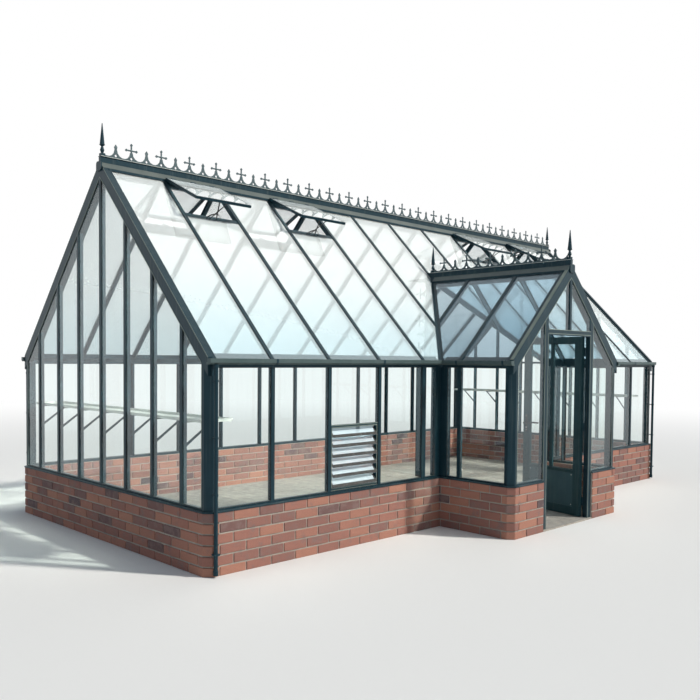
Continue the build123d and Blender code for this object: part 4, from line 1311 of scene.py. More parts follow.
    def porch(self) -> None:
        """Bricks and mortar of the porch sides and the piers beside the door."""
        x_out, x_in = house.faces(house.porch_half)
        y_out, y_in = (-face for face in house.faces(-house.porch_front))
        y_back = -house.faces(house.half_width)[1]
        jamb = house.opening_half + house.jamb_width
        face = x_out - jamb
        inset, bricks, cores = self.recess, [], []
        for sign in (-1, 1):
            corner, up, inward = Vector((sign * x_out, y_out, 0)), Vector((0, 1, 0)), Vector((-sign, 0, 0))
            flank, pier = Side(corner, up, inward), Side(corner, inward, up)
            bricks += self.corners(flank)
            bricks += self.stretch(flank, y_back - y_out, False, True)
            for row in range(self.courses):
                edges = (self.brick_pitch, face) if row % 2 else (self.header, face - self.header, face)
                for start, end in zip(edges, edges[1:]):
                    bricks += self.run(pier, row, start, end)
            outer = sign * (x_out - inset)
            cut = (Vector((outer, y_out + inset + self.slant, 0)), Vector((sign, -1, 0)))
            cores.append(self.core((outer, sign * (x_in + inset)), y_out + inset, y_back, [cut]))
            cores.append(self.core((sign * jamb, sign * x_in), y_out + inset, y_in - inset))
        whole = Bench.join("porch_bricks", bricks)
        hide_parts("porch_side_walls", "door_piers")
        Bench.finish(whole, self.palette.brick, Body.HOUSE, Slot.BRICK)
        Bench.finish(Bench.join("porch_mortar", cores), self.palette.mortar, Body.HOUSE, Slot.BRICK)

    def build(self) -> None:
        """Lay all the walls."""
        self.main_house()
        self.porch()
        Bench.drop(self.masters.values())


@dataclass
class Paving:
    """Stone slabs inside, laid in a bed of mortar."""

    palette: Palette
    slab_size: float = 0.4
    joint: float = 0.005
    slab_thickness: float = 0.012
    edge: float = 0.002
    seed: int = 19

    def field_of(self, low: Span, high: Span) -> list[Piece]:
        """Slabs over a rectangle.

        Args:
            low: lowest plan corner.
            high: highest plan corner.

        Returns:
            The slabs.
        """
        draw = random.Random(self.seed)
        counts = [max(1, round((b - a) / self.slab_size)) for a, b in zip(low, high)]
        pitch = [(b - a) / n for a, b, n in zip(low, high, counts)]
        top = house.floor_top
        master = Bench.block("slab", (self.joint / 2, self.joint / 2, top - self.slab_thickness),
                             (pitch[0] - self.joint / 2, pitch[1] - self.joint / 2, top))
        Bench.bevel(master, self.edge)
        slabs = []
        for i in range(counts[0]):
            for j in range(counts[1]):
                corner = (low[0] + i * pitch[0], low[1] + j * pitch[1], 0)
                slab = Bench.copy(master, placed(corner))
                Bench.set_tone(slab, draw.random())
                slabs.append(slab)
        Bench.drop([master])
        return slabs

    def bed(self, low: Span, high: Span) -> Piece:
        """Mortar bed under a rectangle of slabs, a little below their top.

        Args:
            low: lowest plan corner.
            high: highest plan corner.

        Returns:
            The bed.
        """
        top = house.floor_top - self.slab_thickness / 3
        piece = Bench.block("bed", (*low, 0), (*high, top))
        Bench.divide(piece, cuts=2)
        return piece

    def build(self) -> None:
        """Lay the floors of the house and the porch."""
        halves = (house.half_length, house.half_width, house.porch_half)
        x_in, y_in, porch_x = (house.faces(half)[1] for half in halves)
        face, back = (-face for face in house.faces(-house.porch_front))
        jamb = house.opening_half + house.jamb_width
        fields = {"main_floor": [((-x_in, -y_in), (x_in, y_in))],
                  "porch_floor": [((-porch_x, back), (porch_x, -y_in)), ((-jamb, face), (jamb, back))]}
        for node, areas in fields.items():
            slabs = [slab for area in areas for slab in self.field_of(*area)]
            whole = Bench.join(node + "_slabs", slabs)
            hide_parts(node)
            Bench.finish(whole, self.palette.slab, Body.HOUSE, Slot.FLOOR)
            beds = Bench.join(node + "_bed", [self.bed(*area) for area in areas])
            Bench.finish(beds, self.palette.mortar, Body.HOUSE, Slot.FLOOR)


@dataclass
class Seals:
    """Black rubber beads that close the glass against the caps."""

    palette: Palette
    width: float = 0.004
    height: float = 0.0035

    def bead(self, width: float, height: float) -> Piece:
        """A bead one metre long with bevelled top edges.

        Args:
            width: its width.
            height: its height.

        Returns:
            The bead.
        """
        piece = Bench.block("bead", (0, -width / 2, 0), (1, width / 2, height))
        top = Bench.above(height / 2)
        Bench.bevel(piece, height / 3, lambda e: top(e) and abs(e.verts[0].co.x - e.verts[1].co.x) > 0.5)
        return piece

    def upright(self, x: float, y: float, low: float, high: float, out: Iterable[float]) -> Matrix:
        """Where an upright bead lies."""
        return laid((x, y, low), (x, y, high), out)

    def wall_lines(self) -> Iterator[Matrix]:
        """Beads beside the upright bars of the long walls.

        Returns:
            Their places.
        """
        top = house.glass_top
        inner = house.porch_half + house.inner_post
        corner = house.half_length - house.post_size
        for sign in (-1, 1):
            out = (0, sign, 0)
            y = sign * (house.half_width - house.cap_thickness)
            lines = [house.bay_line(k) for k in range(1, house.bay_count)]
            lines = [x for x in lines if sign > 0 or abs(x) > inner]
            wide = min(abs(x) for x in lines) if sign < 0 else -1
            for x in lines:
                reach = (house.wide_cap if abs(x) == wide else house.cap_width) / 2 + self.width / 2
                for s in (-1, 1):
                    yield self.upright(x + s * reach, y, house.sill_top, top, out)
            for s in (-1, 1):
                yield self.upright(s * (corner - self.width / 2), y, house.sill_top, top, out)
            edges = (-corner, corner) if sign > 0 else (-corner, -inner, inner, corner)
            for a, b in zip(edges[::2], edges[1::2]):
                for z in (house.sill_top + self.width / 2, top - self.width / 2):
                    yield laid((a, y, z), (b, y, z), out)

    def gable_lines(self) -> Iterator[Matrix]:
        """Beads beside the gables' upright bars and under their verges.

        Returns:
            Their places.
        """
        half = house.cap_width / 2 + self.width / 2
        low = house.sill_top
        for sign in (-1, 1):
            out = (sign, 0, 0)
            x = sign * (house.half_length - house.cap_thickness)
            for k in range(house.gable_bars):
                for s in (-1, 1):
                    y = house.gable_bar(k) + s * half
                    yield self.upright(x, y, low, house.verge_under(y) - self.width, out)
            edge = house.half_width - house.post_size
            for s in (-1, 1):
                start = (x, s * edge, house.verge_under(edge) - self.width / 2)
                peak = (x, 0, house.verge_under(0) - self.width / 2)
                yield laid(start, peak, out)
                yield self.upright(x, s * (edge - self.width / 2), low, house.verge_under(edge), out)
            yield laid((x, -edge, low + self.width / 2), (x, edge, low + self.width / 2), out)

    def porch_lines(self) -> Iterator[Matrix]:
        """Beads of the porch's side walls.

        Returns:
            Their places.
        """
        half = house.cap_width / 2 + self.width / 2
        top = house.glass_top
        post = house.porch_front + house.post_size
        inner = -house.half_width - house.inner_post
        bar = house.porch_front + house.porch_bay
        for sign in (-1, 1):
            out = (sign, 0, 0)
            x = sign * (house.porch_half - house.cap_thickness)
            for y in (post + self.width / 2, bar - half, bar + half, inner - self.width / 2):
                yield self.upright(x, y, house.sill_top, top, out)
            for z in (house.sill_top + self.width / 2, top - self.width / 2):
                yield laid((x, post, z), (x, inner, z), out)

    def roof_lines(self) -> Iterator[Matrix]:
        """Beads beside the bars of the main slopes.

        Returns:
            Their places.
        """
        half = house.cap_width / 2 + self.width / 2
        angle = house.pitch_angle
        for sign in (-1, 1):
            out = Vector((0, sign * math.sin(angle), math.cos(angle)))
            sink = out * -house.cap_thickness
            for k in range(house.bay_count):
                top = house.ridge_wing
                if k in house.vent_bays:
                    top = house.ridge_wing / 3 + house.curb_distance * math.cos(angle) + half
                for s, line in ((1, k), (-1, k + 1)):
                    x = house.bay_line(line) + s * half
                    low = house.half_width + house.overhang
                    if line in (0, house.bay_count):
                        x = house.bay_line(line) + s * (house.post_size + self.width / 2)
                    if sign < 0 and abs(x) < house.porch_half + house.valley_width:
                        low = -house.valley_y(x, house.valley_width / 2)
                    start = Vector((x, sign * low, house.roof_height(low))) + sink
                    end = Vector((x, sign * top, house.roof_height(top))) + sink
                    if low > top:
                        yield laid(start, end, out)

    def build(self) -> None:
        """Make the beads of each part of the house."""
        groups = {"wall_seals": self.wall_lines(), "gable_seals": self.gable_lines(),
                  "porch_seals": self.porch_lines(), "roof_seals": self.roof_lines()}
        for name, places in groups.items():
            whole = Bench.repeat(name, self.bead(self.width, self.height), places)
            Bench.finish(whole, self.palette.rubber, Body.HOUSE, Slot.HARDWARE)


@dataclass
class Screws:
    """Pan-head screws along the caps of the bars."""

    palette: Palette
    radius: float = 0.005
    height: float = 0.0028
    slot_radius: float = 0.0022
    slot_depth: float = 0.0012
    sides: int = 12
    end_distance: float = 0.07
    gable_count: int = 4
    roof_count: int = 5

    def stud(self, name: str, radius: float, sides: int, edge: float, rim: float) -> Piece:
        """A round head on the XY plane with a bevelled rim and a sunk middle.

        Args:
            name: the piece's name.
            radius: outer radius.
            sides: number of sides.
            edge: width of the bevel.
            rim: width of the flat rim.

        Returns:
            The head.
        """
        piece = Bench.rod(name, radius, self.height, sides)
        Bench.bevel(piece, edge, Bench.above(self.height / 2), 2)
        Bench.sink_top(piece, rim, self.slot_depth)
        return piece

    def head(self) -> Piece:
        """A screw head with a round socket."""
        rim = self.radius - self.height / 2 - self.slot_radius
        return self.stud("screw", self.radius, self.sides, self.height / 2, rim)

    def wall_places(self) -> Iterator[Matrix]:
        """Screws on the upright bars of the walls.

        Returns:
            Their places.
        """
        low = house.sill_top + self.end_distance
        high = house.glass_top - self.end_distance
        heights = (low, (low + high) / 2, high)
        inner = house.porch_half + house.inner_post
        for sign in (-1, 1):
            out = (0, sign, 0)
            for k in range(1, house.bay_count):
                x = house.bay_line(k)
                if sign > 0 or abs(x) > inner:
                    yield from (standing((x, sign * house.half_width, z), out) for z in heights)
        for sign in (-1, 1):
            out = (sign, 0, 0)
            for k in range(house.gable_bars):
                y = house.gable_bar(k)
                top = house.verge_under(y) - self.end_distance
                step = (top - low) / (self.gable_count - 1)
                for n in range(self.gable_count):
                    yield standing((sign * house.half_length, y, low + step * n), out)
            y = house.porch_front + house.porch_bay
            yield from (standing((sign * house.porch_half, y, z), out) for z in heights)

    def roof_places(self) -> Iterator[Matrix]:
        """Screws on the roof bars' caps.

        Returns:
            Their places.
        """
        angle = house.pitch_angle
        for sign in (-1, 1):
            out = Vector((0, sign * math.sin(angle), math.cos(angle)))
            for k in range(1, house.bay_count):
                x = house.bay_line(k)
                low = house.half_width - self.end_distance
                if sign < 0 and abs(x) < house.porch_half + house.valley_width:
                    low = -house.valley_y(x, house.valley_width) - self.end_distance
                top = house.ridge_wing + self.end_distance
                for n in range(self.roof_count):
                    y = low + (top - low) * n / (self.roof_count - 1)
                    yield standing((x, sign * y, house.roof_height(y)), out)

    def build(self) -> None:
        """Set the screws of the walls and the roof."""
        for name, places in (("wall_screws", self.wall_places()), ("roof_screws", self.roof_places())):
            whole = Bench.repeat(name, self.head(), places)
            Bench.smooth(whole)
            Bench.finish(whole, self.palette.coat, Body.HOUSE, Slot.HARDWARE)


@dataclass
class Trims(Seals):
    """Pale strips along the edges of the door frame, posts, verges and louvre frame, which are painted
    highlights, and lighter strips on the ridge caps' skirts and flange edges, painted light where they face
    the sky.
    """

    strip: float = 0.006
    lift: float = 0.0012
    cap_half: float = 0.018
    skirt_low: float = 0.018
    skirt_high: float = 0.032
    skirt_width: float = 0.064
    flange_half: float = 0.027
    flange_thickness: float = 0.005
    lip_height: float = 0.014
    lip_width: float = 0.042
    louvre_sunk: float = 0.008
    louvre_edge: float = 0.009
    louvre_rings: tuple[float, ...] = (0.001, 0.019)

    def door_lines(self) -> Iterator[Matrix]:
        """Strips along the jambs and the head over the door.

        Returns:
            Their places.
        """
        out = (0, -1, 0)
        y, half = house.porch_front, self.strip / 2
        inner, outer = house.opening_half, house.opening_half + house.jamb_width
        for sign in (-1, 1):
            yield self.upright(sign * (inner + half), y, house.floor_top, house.head_low, out)
            top = house.porch_under(outer)
            yield self.upright(sign * (outer - half), y, house.wall_height, top, out)
        for z in (house.head_low + half, house.head_top - half):
            yield laid((-inner, y, z), (inner, y, z), out)

    def post_lines(self) -> Iterator[Matrix]:
        """Strips on the posts, next to the glass.

        Returns:
            Their places.
        """
        low, top = house.sill_top, house.glass_top
        x_edge = house.half_length - house.post_size + self.strip / 2
        y_edge = house.half_width - house.post_size + self.strip / 2
        porch_edge = house.porch_half - house.post_size + self.strip / 2
        for sx, sy in product((-1, 1), repeat=2):
            yield self.upright(sx * x_edge, sy * house.half_width, low, top, (0, sy, 0))
            yield self.upright(sx * house.half_length, sy * y_edge, low, top, (sx, 0, 0))
        for sx in (-1, 1):
            yield self.upright(sx * porch_edge, house.porch_front, low, top, (0, -1, 0))

    def verge_lines(self) -> Iterator[Matrix]:
        """Strips along the lower edge of each verge's outer face.

        Returns:
            Their places.
        """
        for sign in (-1, 1):
            out = (sign, 0, 0)
            x, edge = sign * house.half_length, house.half_width - house.post_size
            rise = self.strip / math.cos(house.pitch_angle) / 2
            peak = (x, 0, house.verge_under(0) + rise)
            for s in (-1, 1):
                yield laid((x, s * edge, house.verge_under(edge) + rise), peak, out)
            rise = self.strip / math.cos(house.porch_angle) / 2
            edge = house.porch_half - house.post_size
            start = (sign * edge, house.porch_front, house.porch_under(edge) + rise)
            peak = (0, house.porch_front, house.porch_under(0) + rise)
            yield laid(start, peak, (0, -1, 0))

    def verge_top_lines(self) -> Iterator[Matrix]:
        """Strips along the upper edge of each main verge's outer face.

        Returns:
            Their places.
        """
        start, end = house.ridge_wing, house.half_width
        rise = (self.lip_height - self.strip / 2) / math.cos(house.pitch_angle)
        for sx, sy in product((-1, 1), repeat=2):
            x = sx * house.half_length
            ends = [(x, sy * y, house.roof_height(y) + rise) for y in (end, start)]
            yield laid(*ends, (sx, 0, 0))

    def porch_cap_lines(self) -> Iterator[Matrix]:
        """Pale strips on top of the porch verge's raised lip: painted light on its upward face.

        Returns:
            Their places.
        """
        angle = house.porch_angle
        for s in (-1, 1):
            out = (s * math.sin(angle), 0, math.cos(angle))
            ends = []
            for x in (house.porch_half, house.ridge_wing):
                z = house.porch_ridge - x * math.tan(angle) + self.lip_height / math.cos(angle)
                ends.append((s * x, house.porch_front + self.lip_width / 2, z))
            yield laid(*ends, out)

    def louvre_lines(self) -> Iterator[Matrix]:
        """Two nested rings of strips on the louvre's frame.

        Returns:
            Their places.
        """
        x0, x1 = (house.bay_line(k) for k in (house.louvre_bay, house.louvre_bay + 1))
        low, top = house.sill_top, house.sill_top + house.louvre_height
        y = self.louvre_sunk - house.half_width
        for inset in self.louvre_rings:
            ends = (x0 + self.louvre_edge + inset, x1 - self.louvre_edge - inset)
            yield from ring(ends, (low + inset, top - inset), y, (0, -1, 0), self.strip)

    def skirt_places(self) -> Iterator[Matrix]:
        """Lighter strips on the sloping skirts of both ridge caps: painted light where the skirts face the
        sky.

        Returns:
            Their places.
        """
        reach = (house.ridge_wing + self.cap_half) / 2
        run = house.ridge_wing - self.cap_half
        ridges = ((house.pitch_angle, house.ridge_height), (house.porch_angle, house.porch_ridge))
        for s, (angle, peak) in product((-1, 1), ridges):
            rise = run * math.tan(angle) + self.skirt_high - self.skirt_low
            z = peak - reach * math.tan(angle) + (self.skirt_low + self.skirt_high) / 2
            if angle == house.pitch_angle:
                ends = [(t * house.half_length, s * reach, z) for t in (-1, 1)]
                yield laid(*ends, (0, s * rise, run))
            else:
                ends = [(s * reach, y, z) for y in (house.porch_front, house.valley_top - reach)]
                yield laid(*ends, (s * rise, 0, run))

    def flange_places(self) -> Iterator[Matrix]:
        """Pale strips along the edges of the ridge caps' flanges: painted highlights.

        Returns:
            Their places.
        """
        down = house.ridge_cap_rise - self.flange_thickness / 2
        for s in (-1, 1):
            z = house.ridge_height + down
            ends = [(t * house.half_length, s * self.flange_half, z) for t in (-1, 1)]
            yield laid(*ends, (0, s, 0))
            z = house.porch_ridge + down
            ends = [(s * self.flange_half, y, z) for y in (house.porch_front, house.valley_top)]
            yield laid(*ends, (s, 0, 0))

    def build(self) -> None:
        """Make the painted highlight strips and the lighter strips on the ridge caps."""
        strip, edge = self.strip, self.palette.edge
        # The pale strips are painted highlights on the frame's edges and painted light on the porch verge's
        # top; the ridge skirt and flange edge strips are painted light where they face the sky.
        groups = (("door_frame_highlight_strips", self.door_lines(), strip, edge),
                  ("post_highlight_strips", self.post_lines(), strip, edge),
                  ("verge_highlight_strips", self.verge_lines(), strip, edge),
                  ("verge_top_highlight_strips", self.verge_top_lines(), strip, edge),
                  ("porch_verge_light_strips", self.porch_cap_lines(), self.lip_width - strip, edge),
                  ("louvre_highlight_strips", self.louvre_lines(), strip, edge),
                  ("ridge_skirt_light_strips", self.skirt_places(), self.skirt_width, self.palette.skirt_light),
                  ("ridge_edge_highlight_strips", self.flange_places(), self.flange_thickness, self.palette.tray_and_highlight))
        for name, places, width, finish in groups:
            whole = Bench.repeat(name, self.bead(width, self.lift), places)
            Bench.finish(whole, finish, Body.HOUSE, Slot.FRAME)


@dataclass
class DoorFittings(Screws):
    """Glazing beads, lock and screws of the door, modelled closed and turned to where it stands open."""

    bead_width: float = 0.008
    bead_height: float = 0.008
    panel_inset: float = 0.002
    panel_thickness: float = 0.018
    glass: float = 0.004
    screw_inset: float = 0.02
    hinge_end: float = 0.16
    hinge_leaf: float = 0.0025
    hinge_screw: float = 0.03
    plate: float = 0.005
    plate_screw: float = 0.078
    lock_drop: float = 0.052
    lock_radius: float = 0.0085
    lock_sides: int = 20
    lock_rim: float = 0.6
    hinge_count: int = 3

    def bead_places(self) -> Iterator[Matrix]:
        """Beads round the glass on both faces, and round the panel inside.

        Returns:
            Their places.
        """
        middle = house.door_inner - house.door_thickness / 2
        edge, bar = house.door_half - house.door_stile, house.door_rail / 2
        heights = (house.door_rail_top, house.door_top - house.door_top_rail)
        for sign, ends in product((-1, 1), ((-edge, -bar), (bar, edge))):
            yield from ring(ends, heights, middle + sign * self.glass / 2, (0, sign, 0), self.bead_width)
        back = house.door_inner - house.door_thickness + self.panel_inset + self.panel_thickness
        heights = (house.door_low + house.door_bottom_rail, house.door_rail_top - house.door_rail)
        yield from ring((-edge, edge), heights, back, (0, 1, 0), self.bead_width)

    def screw_places(self) -> Iterator[Matrix]:
        """Screws of the panel, the hinges and the handle plates.

        Returns:
            Their places.
        """
        outer, inner = house.door_inner - house.door_thickness, house.door_inner
        edge = house.door_half - house.door_stile - self.screw_inset
        low = house.door_low + house.door_bottom_rail + self.screw_inset
        top = house.door_rail_top - house.door_rail - self.screw_inset
        front, back = (0, -1, 0), (0, 1, 0)
        for x, z in product((-edge, edge), (low, top)):
            yield standing((x, outer + self.panel_inset, z), front)
        span = house.door_top - house.door_low - 2 * self.hinge_end
        for k in range(self.hinge_count):
            z = house.door_low + self.hinge_end + span * k / (self.hinge_count - 1)
            x = house.door_half - self.hinge_screw / 2
            for dz in (-self.hinge_screw, 0, self.hinge_screw):
                yield standing((x, inner + self.hinge_leaf, z + dz), back)
        x = -house.door_half + house.door_stile / 2
        for face, out in ((outer - self.plate, front), (inner + self.plate, back)):
            for dz in (-self.plate_screw, self.plate_screw):
                yield standing((x, face, house.handle_height + dz), out)

    def lock(self) -> Piece:
        """A round lock cylinder with a keyway."""
        rim = self.lock_radius * self.lock_rim
        return self.stud("lock", self.lock_radius, self.lock_sides, self.height / 4, rim)

    def build(self) -> None:
        """Fit the beads, the screws and the lock to the open door."""
        opened = house.opened()
        beads = Seals(self.palette).bead(self.bead_width, self.bead_height)
        whole = Bench.repeat("door_glazing_beads", beads, (opened @ place for place in self.bead_places()))
        Bench.finish(whole, self.palette.door_coat_lightened, Body.DOOR, Slot.FRAME)
        screws = Bench.repeat("door_screws", self.head(), (opened @ place for place in self.screw_places()))
        x, z = -house.door_half + house.door_stile / 2, house.handle_height - self.lock_drop
        outer = house.door_inner - house.door_thickness - self.plate
        faces = ((outer, -1), (house.door_inner + self.plate, 1))
        places = [opened @ standing((x, y, z), (0, out, 0)) for y, out in faces]
        locks = Bench.repeat("door_lock", self.lock(), places)
        for piece in (screws, locks):
            Bench.smooth(piece)
            Bench.finish(piece, self.palette.steel, Body.DOOR, Slot.HARDWARE)


@dataclass
class Hardware:
    """Small outside parts: gutter straps, pipe clips, vent hinges, louvre clips and cresting bosses."""

    palette: Palette
    strap_width: float = 0.022
    strap: float = 0.0025
    gutter_floor: float = 0.039
    gutter_turn: float = 0.014
    clip_height: float = 0.016
    clip_wall: float = 0.003
    clip_levels: tuple[float, ...] = (0.62, 1.05, 1.48)
    clip_sides: int = 24
    sides: int = 16
    knuckle_radius: float = 0.006
    knuckle_length: float = 0.055
    knuckle_rise: float = 0.036
    knuckle_shares: tuple[float, ...] = (0.15, 0.5, 0.85)
    porch_crest_start: float = 0.045
    porch_crest_end: float = 0.02
    boss_radius: float = 0.0115
    boss_depth: float = 0.014
    blade_count: int = 6
    blade_width: float = 0.102
    blade_thickness: float = 0.005
    blade_angle: float = 38.0
    blade_frame: float = 0.026
    blade_depth: float = 0.028
    blade_inset: float = 0.009
    # Width of the black strips along the blades' lower edges, which stand for the seals and also paint the
    # shade in the gaps between the blades.
    lip: float = 0.03
    lip_lift: float = 0.0015
    clip_length: float = 0.016
    clip_lift: float = 0.004
    clip_share: float = 0.6

    def gutter_strap(self) -> Piece:
        """A strap round a gutter, its X along the gutter, its Y outward and its Z up from the ground.

        Returns:
            The strap.
        """
        half, t, low, top = self.strap_width / 2, self.strap, house.gutter_low, house.gutter_high
        floor, width, turn = self.gutter_floor, house.gutter_width, low + self.gutter_turn
        parts = [Bench.block("strap", (-half, 0, low - t), (half, floor, low)),
                 Bench.block("strap", (-half, width, turn), (half, width + t, top)),
                 Bench.block("strap", (-half, 0, 0), (half, math.hypot(width - floor, self.gutter_turn), t))]
        tilt = Matrix.Rotation(math.atan2(self.gutter_turn, width - floor), 4, "X")
        parts[2].data.transform(Matrix.Translation((0, floor, low)) @ tilt @ Matrix.Translation((0, 0, -t)))
        whole = Bench.join("strap", parts)
        Bench.bevel(whole, t / 4)
        return whole

    def gutter_places(self) -> Iterator[Matrix]:
        """Straps every second bay on the long sides, and two on each side of the porch.

        Returns:
            Their places.
        """
        for k in range(1, house.bay_count, 2):
            x = house.bay_line(k)
            yield placed((x, house.half_width, 0))
            if abs(x) > house.porch_half + house.inner_post:
                yield placed((x, -house.half_width, 0), 2)
        for sign, step in product((-1, 1), (house.post_size, house.porch_bay)):
            yield placed((sign * house.porch_half, house.porch_front + step, 0), -sign)

    def pipe_clip(self) -> Piece:
        """A clip round a downpipe with its arm to the post, the pipe's middle on the Z axis.

        Returns:
            The clip.
        """
        ring = Bench.rod("clip", house.pipe_radius + self.clip_wall, self.clip_height, self.clip_sides)
        Bench.bevel(ring, self.clip_wall / 3)
        reach = house.pipe_y - house.half_width
        half = self.clip_height / 2
        top = self.clip_height - self.clip_wall
        arm = Bench.block("arm", (-half, -reach, self.clip_wall), (half, 0, top))
        Bench.bevel(arm, self.clip_wall / 3)
        return Bench.join("clip", [ring, arm])

    def pipe_places(self) -> Iterator[Matrix]:
        """Three clips on each downpipe.

        Returns:
            Their places.
        """
        x = house.half_length - house.pipe_inset
        for sx, sy, z in product((-1, 1), (-1, 1), self.clip_levels):
            yield placed((sx * x, sy * house.pipe_y, z), 0 if sy > 0 else 2)

    def knuckle_places(self) -> Iterator[Matrix]:
        """Three hinge knuckles along the top of each vent.

        Returns:
            Their places.
        """
        tilt = house.pitch_angle - math.radians(house.vent_opening)
        y = house.ridge_wing + self.knuckle_radius * math.sin(tilt)
        z = house.roof_height(house.ridge_wing) + self.knuckle_rise
        for sign, bay, share in product((-1, 1), house.vent_bays, self.knuckle_shares):
            x = house.bay_line(bay) + house.bay_pitch * share - self.knuckle_length / 2
            yield placed((x, sign * y, z), 1, "Y")

    def boss_places(self) -> Iterator[Matrix]:
        """A boss at the middle of each cross of both crestings.

        Returns:
            Their places.
        """
        pitch = house.bay_pitch / house.motifs_in_bay
        z = house.ridge_height + house.ridge_cap_rise + house.cross_height
        count = house.bay_count * house.motifs_in_bay - 1
        for k in range(1, count, 2):
            yield placed((-house.half_length + pitch * (k + 1), self.boss_depth / 2, z), 1, "X")
        z = house.porch_ridge + house.ridge_cap_rise + house.cross_height
        start, end = house.porch_front + self.porch_crest_start, house.valley_top - self.porch_crest_end
        count = int((end - start) // pitch)
        first = (start + end) / 2 - pitch * (count - 1) / 2
        for k in range(1, count, 2):
            yield placed((-self.boss_depth / 2, first + pitch * k, z), 1, "Y")

    def boss(self) -> Piece:
        """A round boss with rounded faces.

        Returns:
            The boss.
        """
        piece = Bench.rod("boss", self.boss_radius, self.boss_depth, self.sides)
        Bench.bevel(piece, self.boss_depth / 4, segments=2)
        return piece

    def louvre_places(self) -> tuple[list[Matrix], list[Matrix]]:
        """Where the dark strips along the blades' lower edges and the clips at their ends lie; the strips
        stand for the blades' rubber seals and also paint the shade in the gaps between the blades.

        Returns:
            The strips' places and the clips' places.
        """
        x0 = house.bay_line(house.louvre_bay) + self.blade_inset + self.blade_frame
        x1 = house.bay_line(house.louvre_bay + 1) - self.blade_inset - self.blade_frame
        pitch = (house.louvre_height - 2 * self.blade_frame) / self.blade_count
        angle = math.radians(self.blade_angle)
        up = Vector((0, math.sin(angle), math.cos(angle)))
        out = Vector((0, -math.cos(angle), math.sin(angle)))
        seal_and_shade_places, clips = [], []
        for k in range(self.blade_count):
            z = house.sill_top + self.blade_frame + pitch * (k + 0.5)
            middle = Vector((0, -house.half_width + self.blade_depth, z)) + out * self.blade_thickness / 2
            low = middle - up * (self.blade_width / 2 - self.lip / 2)
            seal_and_shade_places.append(laid(low + Vector((x0, 0, 0)), low + Vector((x1, 0, 0)), out))
            for a, b in ((x0, x0 + self.clip_length), (x1 - self.clip_length, x1)):
                clips.append(laid(middle + Vector((a, 0, 0)), middle + Vector((b, 0, 0)), out))
        return seal_and_shade_places, clips

    def build(self) -> None:
        """Make and place all of them."""
        seal_and_shade_places, clips = self.louvre_places()
        bead, colours = Seals(self.palette).bead, self.palette
        bars = bead(self.blade_width * self.clip_share, self.clip_lift)
        knuckle = Bench.rod("knuckle", self.knuckle_radius, self.knuckle_length, self.sides)
        sets = (("gutter_straps", self.gutter_strap(), self.gutter_places(), colours.coat, Slot.GUTTER),
                ("pipe_clips", self.pipe_clip(), self.pipe_places(), colours.coat, Slot.GUTTER),
                ("vent_hinge_knuckles", knuckle, self.knuckle_places(), colours.coat, Slot.HARDWARE),
                ("cresting_bosses", self.boss(), self.boss_places(), colours.crest, Slot.FRAME),
                # Black strips along the blades: the rubber seals, and painted shade in the gaps between the
                # blades.
                ("louvre_seal_and_gap_shade_strips", bead(self.lip, self.lip_lift), seal_and_shade_places, colours.rubber, Slot.HARDWARE),
                ("louvre_clips", bars, clips, colours.black, Slot.HARDWARE))
        for name, master, places, finish, slot in sets:
            piece = Bench.repeat(name, master, places)
            Bench.smooth(piece)
            Bench.finish(piece, finish, Body.HOUSE, slot)


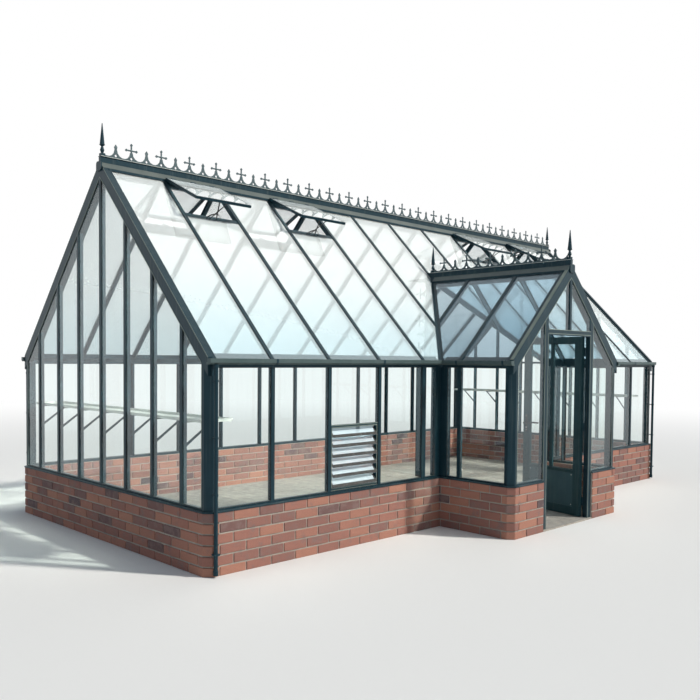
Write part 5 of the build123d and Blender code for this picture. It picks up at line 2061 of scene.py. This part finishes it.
@dataclass
class Studio:
    """Pale floor, soft light and the camera at the photograph's place."""

    camera_place: Point = (-7.1103, -6.5079, 1.6528)
    yaw: float = 43.562
    pitch: float = -2.0302
    roll: float = 0.4577
    focal_pixels: float = 771.25
    centre: Span = (329.77, 387.29)
    frame_pixels: float = 700.0
    sensor: float = 36.0
    floor_size: float = 400.0
    floor_colour: Colour = (0.80, 0.80, 0.80)
    fade_start: float = 5.0
    fade_end: float = 22.0
    ambient: float = 0.36
    sky_colour: Colour = (0.74, 0.87, 1.0)
    sun_strength: float = 3.4
    sun_colour: Colour = (1.0, 0.95, 0.87)
    sun_angle: float = 4.0
    sun_from: Point = (0.46, -0.66, 0.62)

    def camera(self) -> None:
        """The photograph's view, worked out from the house's own straight lines."""
        yaw, pitch, roll = (math.radians(a) for a in (self.yaw, self.pitch, self.roll))
        ahead = Vector((math.sin(yaw) * math.cos(pitch), math.cos(yaw) * math.cos(pitch), math.sin(pitch)))
        right = Vector((math.cos(yaw), -math.sin(yaw), 0))
        up = right.cross(ahead)
        across = right * math.cos(roll) + up * math.sin(roll)
        rise = up * math.cos(roll) - right * math.sin(roll)
        data = bpy.data.cameras.new("photo_view")
        data.sensor_width = self.sensor
        data.lens = self.focal_pixels * self.sensor / self.frame_pixels
        data.shift_x = (self.frame_pixels / 2 - self.centre[0]) / self.frame_pixels
        data.shift_y = (self.centre[1] - self.frame_pixels / 2) / self.frame_pixels
        data.clip_end = self.floor_size
        view = bpy.data.objects.new("photo_view", data)
        bpy.context.scene.collection.objects.link(view)
        view.matrix_world = columns(across, rise, -ahead, self.camera_place)
        bpy.context.scene.camera = view

    def seen_rays(self, recipe: Recipe) -> Socket:
        """One for rays that the eye follows, straight, by a mirror or through glass.

        Args:
            recipe: the recipe to add it to.

        Returns:
            The socket that is one for them.
        """
        path = recipe.add("ShaderNodeLightPath")
        seen = recipe.math("ADD", path.outputs["Is Camera Ray"], path.outputs["Is Glossy Ray"])
        return recipe.math("ADD", seen, path.outputs["Is Transmission Ray"], True)

    def floor(self) -> None:
        """A wide pale floor that fades to white far from the house and keeps its shadow."""
        Bench.clear()
        bpy.ops.mesh.primitive_plane_add(size=self.floor_size)
        ground = Bench.settle("studio_floor")
        recipe = Recipe("studio_floor")
        recipe.dress({"Base Color": self.floor_colour, "Roughness": 0.9, "Specular IOR Level": 0.1})
        length = recipe.add("ShaderNodeVectorMath", operation="LENGTH")
        recipe.link(recipe.place(), length.inputs[0])
        far = recipe.span(length.outputs["Value"], self.fade_start, self.fade_end)
        glow = recipe.add("ShaderNodeEmission")
        recipe.feed(glow, {"Strength": recipe.span(self.seen_rays(recipe), 0.0, 1.0, self.ambient, 1.0)})
        recipe.choose(far, glow.outputs[0])
        ground.data.materials.append(recipe.material)

    def light(self) -> None:
        """A soft sun from the front right and an even white sky."""
        data = bpy.data.lights.new("soft_sun", "SUN")
        data.energy = self.sun_strength
        data.color = self.sun_colour
        data.angle = math.radians(self.sun_angle)
        sun = bpy.data.objects.new("soft_sun", data)
        sun.rotation_euler = Vector(self.sun_from).to_track_quat("Z", "Y").to_euler()
        bpy.context.scene.collection.objects.link(sun)
        world = bpy.data.worlds.new("studio_sky")
        world.use_nodes = True
        world.node_tree.nodes.clear()
        recipe = Recipe("studio_sky", world.node_tree)
        sky = recipe.add("ShaderNodeBackground")
        seen = self.seen_rays(recipe)
        recipe.feed(sky, {"Color": recipe.mixed(seen, self.sky_colour, (1.0, 1.0, 1.0)),
                          "Strength": recipe.span(seen, 0.0, 1.0, self.ambient, 1.0)})
        recipe.link(sky.outputs[0], recipe.add("ShaderNodeOutputWorld").inputs["Surface"])
        bpy.context.scene.world = world

    def build(self) -> None:
        """Set up the camera, the floor and the light."""
        self.camera()
        self.floor()
        self.light()
        bpy.context.scene.view_settings.view_transform = "Standard"


def dress_frame(palette: Palette) -> None:
    """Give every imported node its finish.

    Args:
        palette: the finishes.
    """
    for name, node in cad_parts.items():
        material = palette.of_node(name)
        for slot in node.material_slots:
            slot.material = material
        log.info("%s: %s", name, material.name)


def main() -> None:
    """Build the studio and every sub-assembly in order."""
    logging.basicConfig(level=logging.INFO, format="%(message)s")
    Studio().build()
    palette = Palette()
    dress_frame(palette)
    parts = (Brickwork(palette), Paving(palette), Seals(palette), Trims(palette), Screws(palette),
             DoorFittings(palette), Hardware(palette))
    for part in parts:
        log.info("building %s", type(part).__name__)
        part.build()


if __name__ == "__main__":
    main()
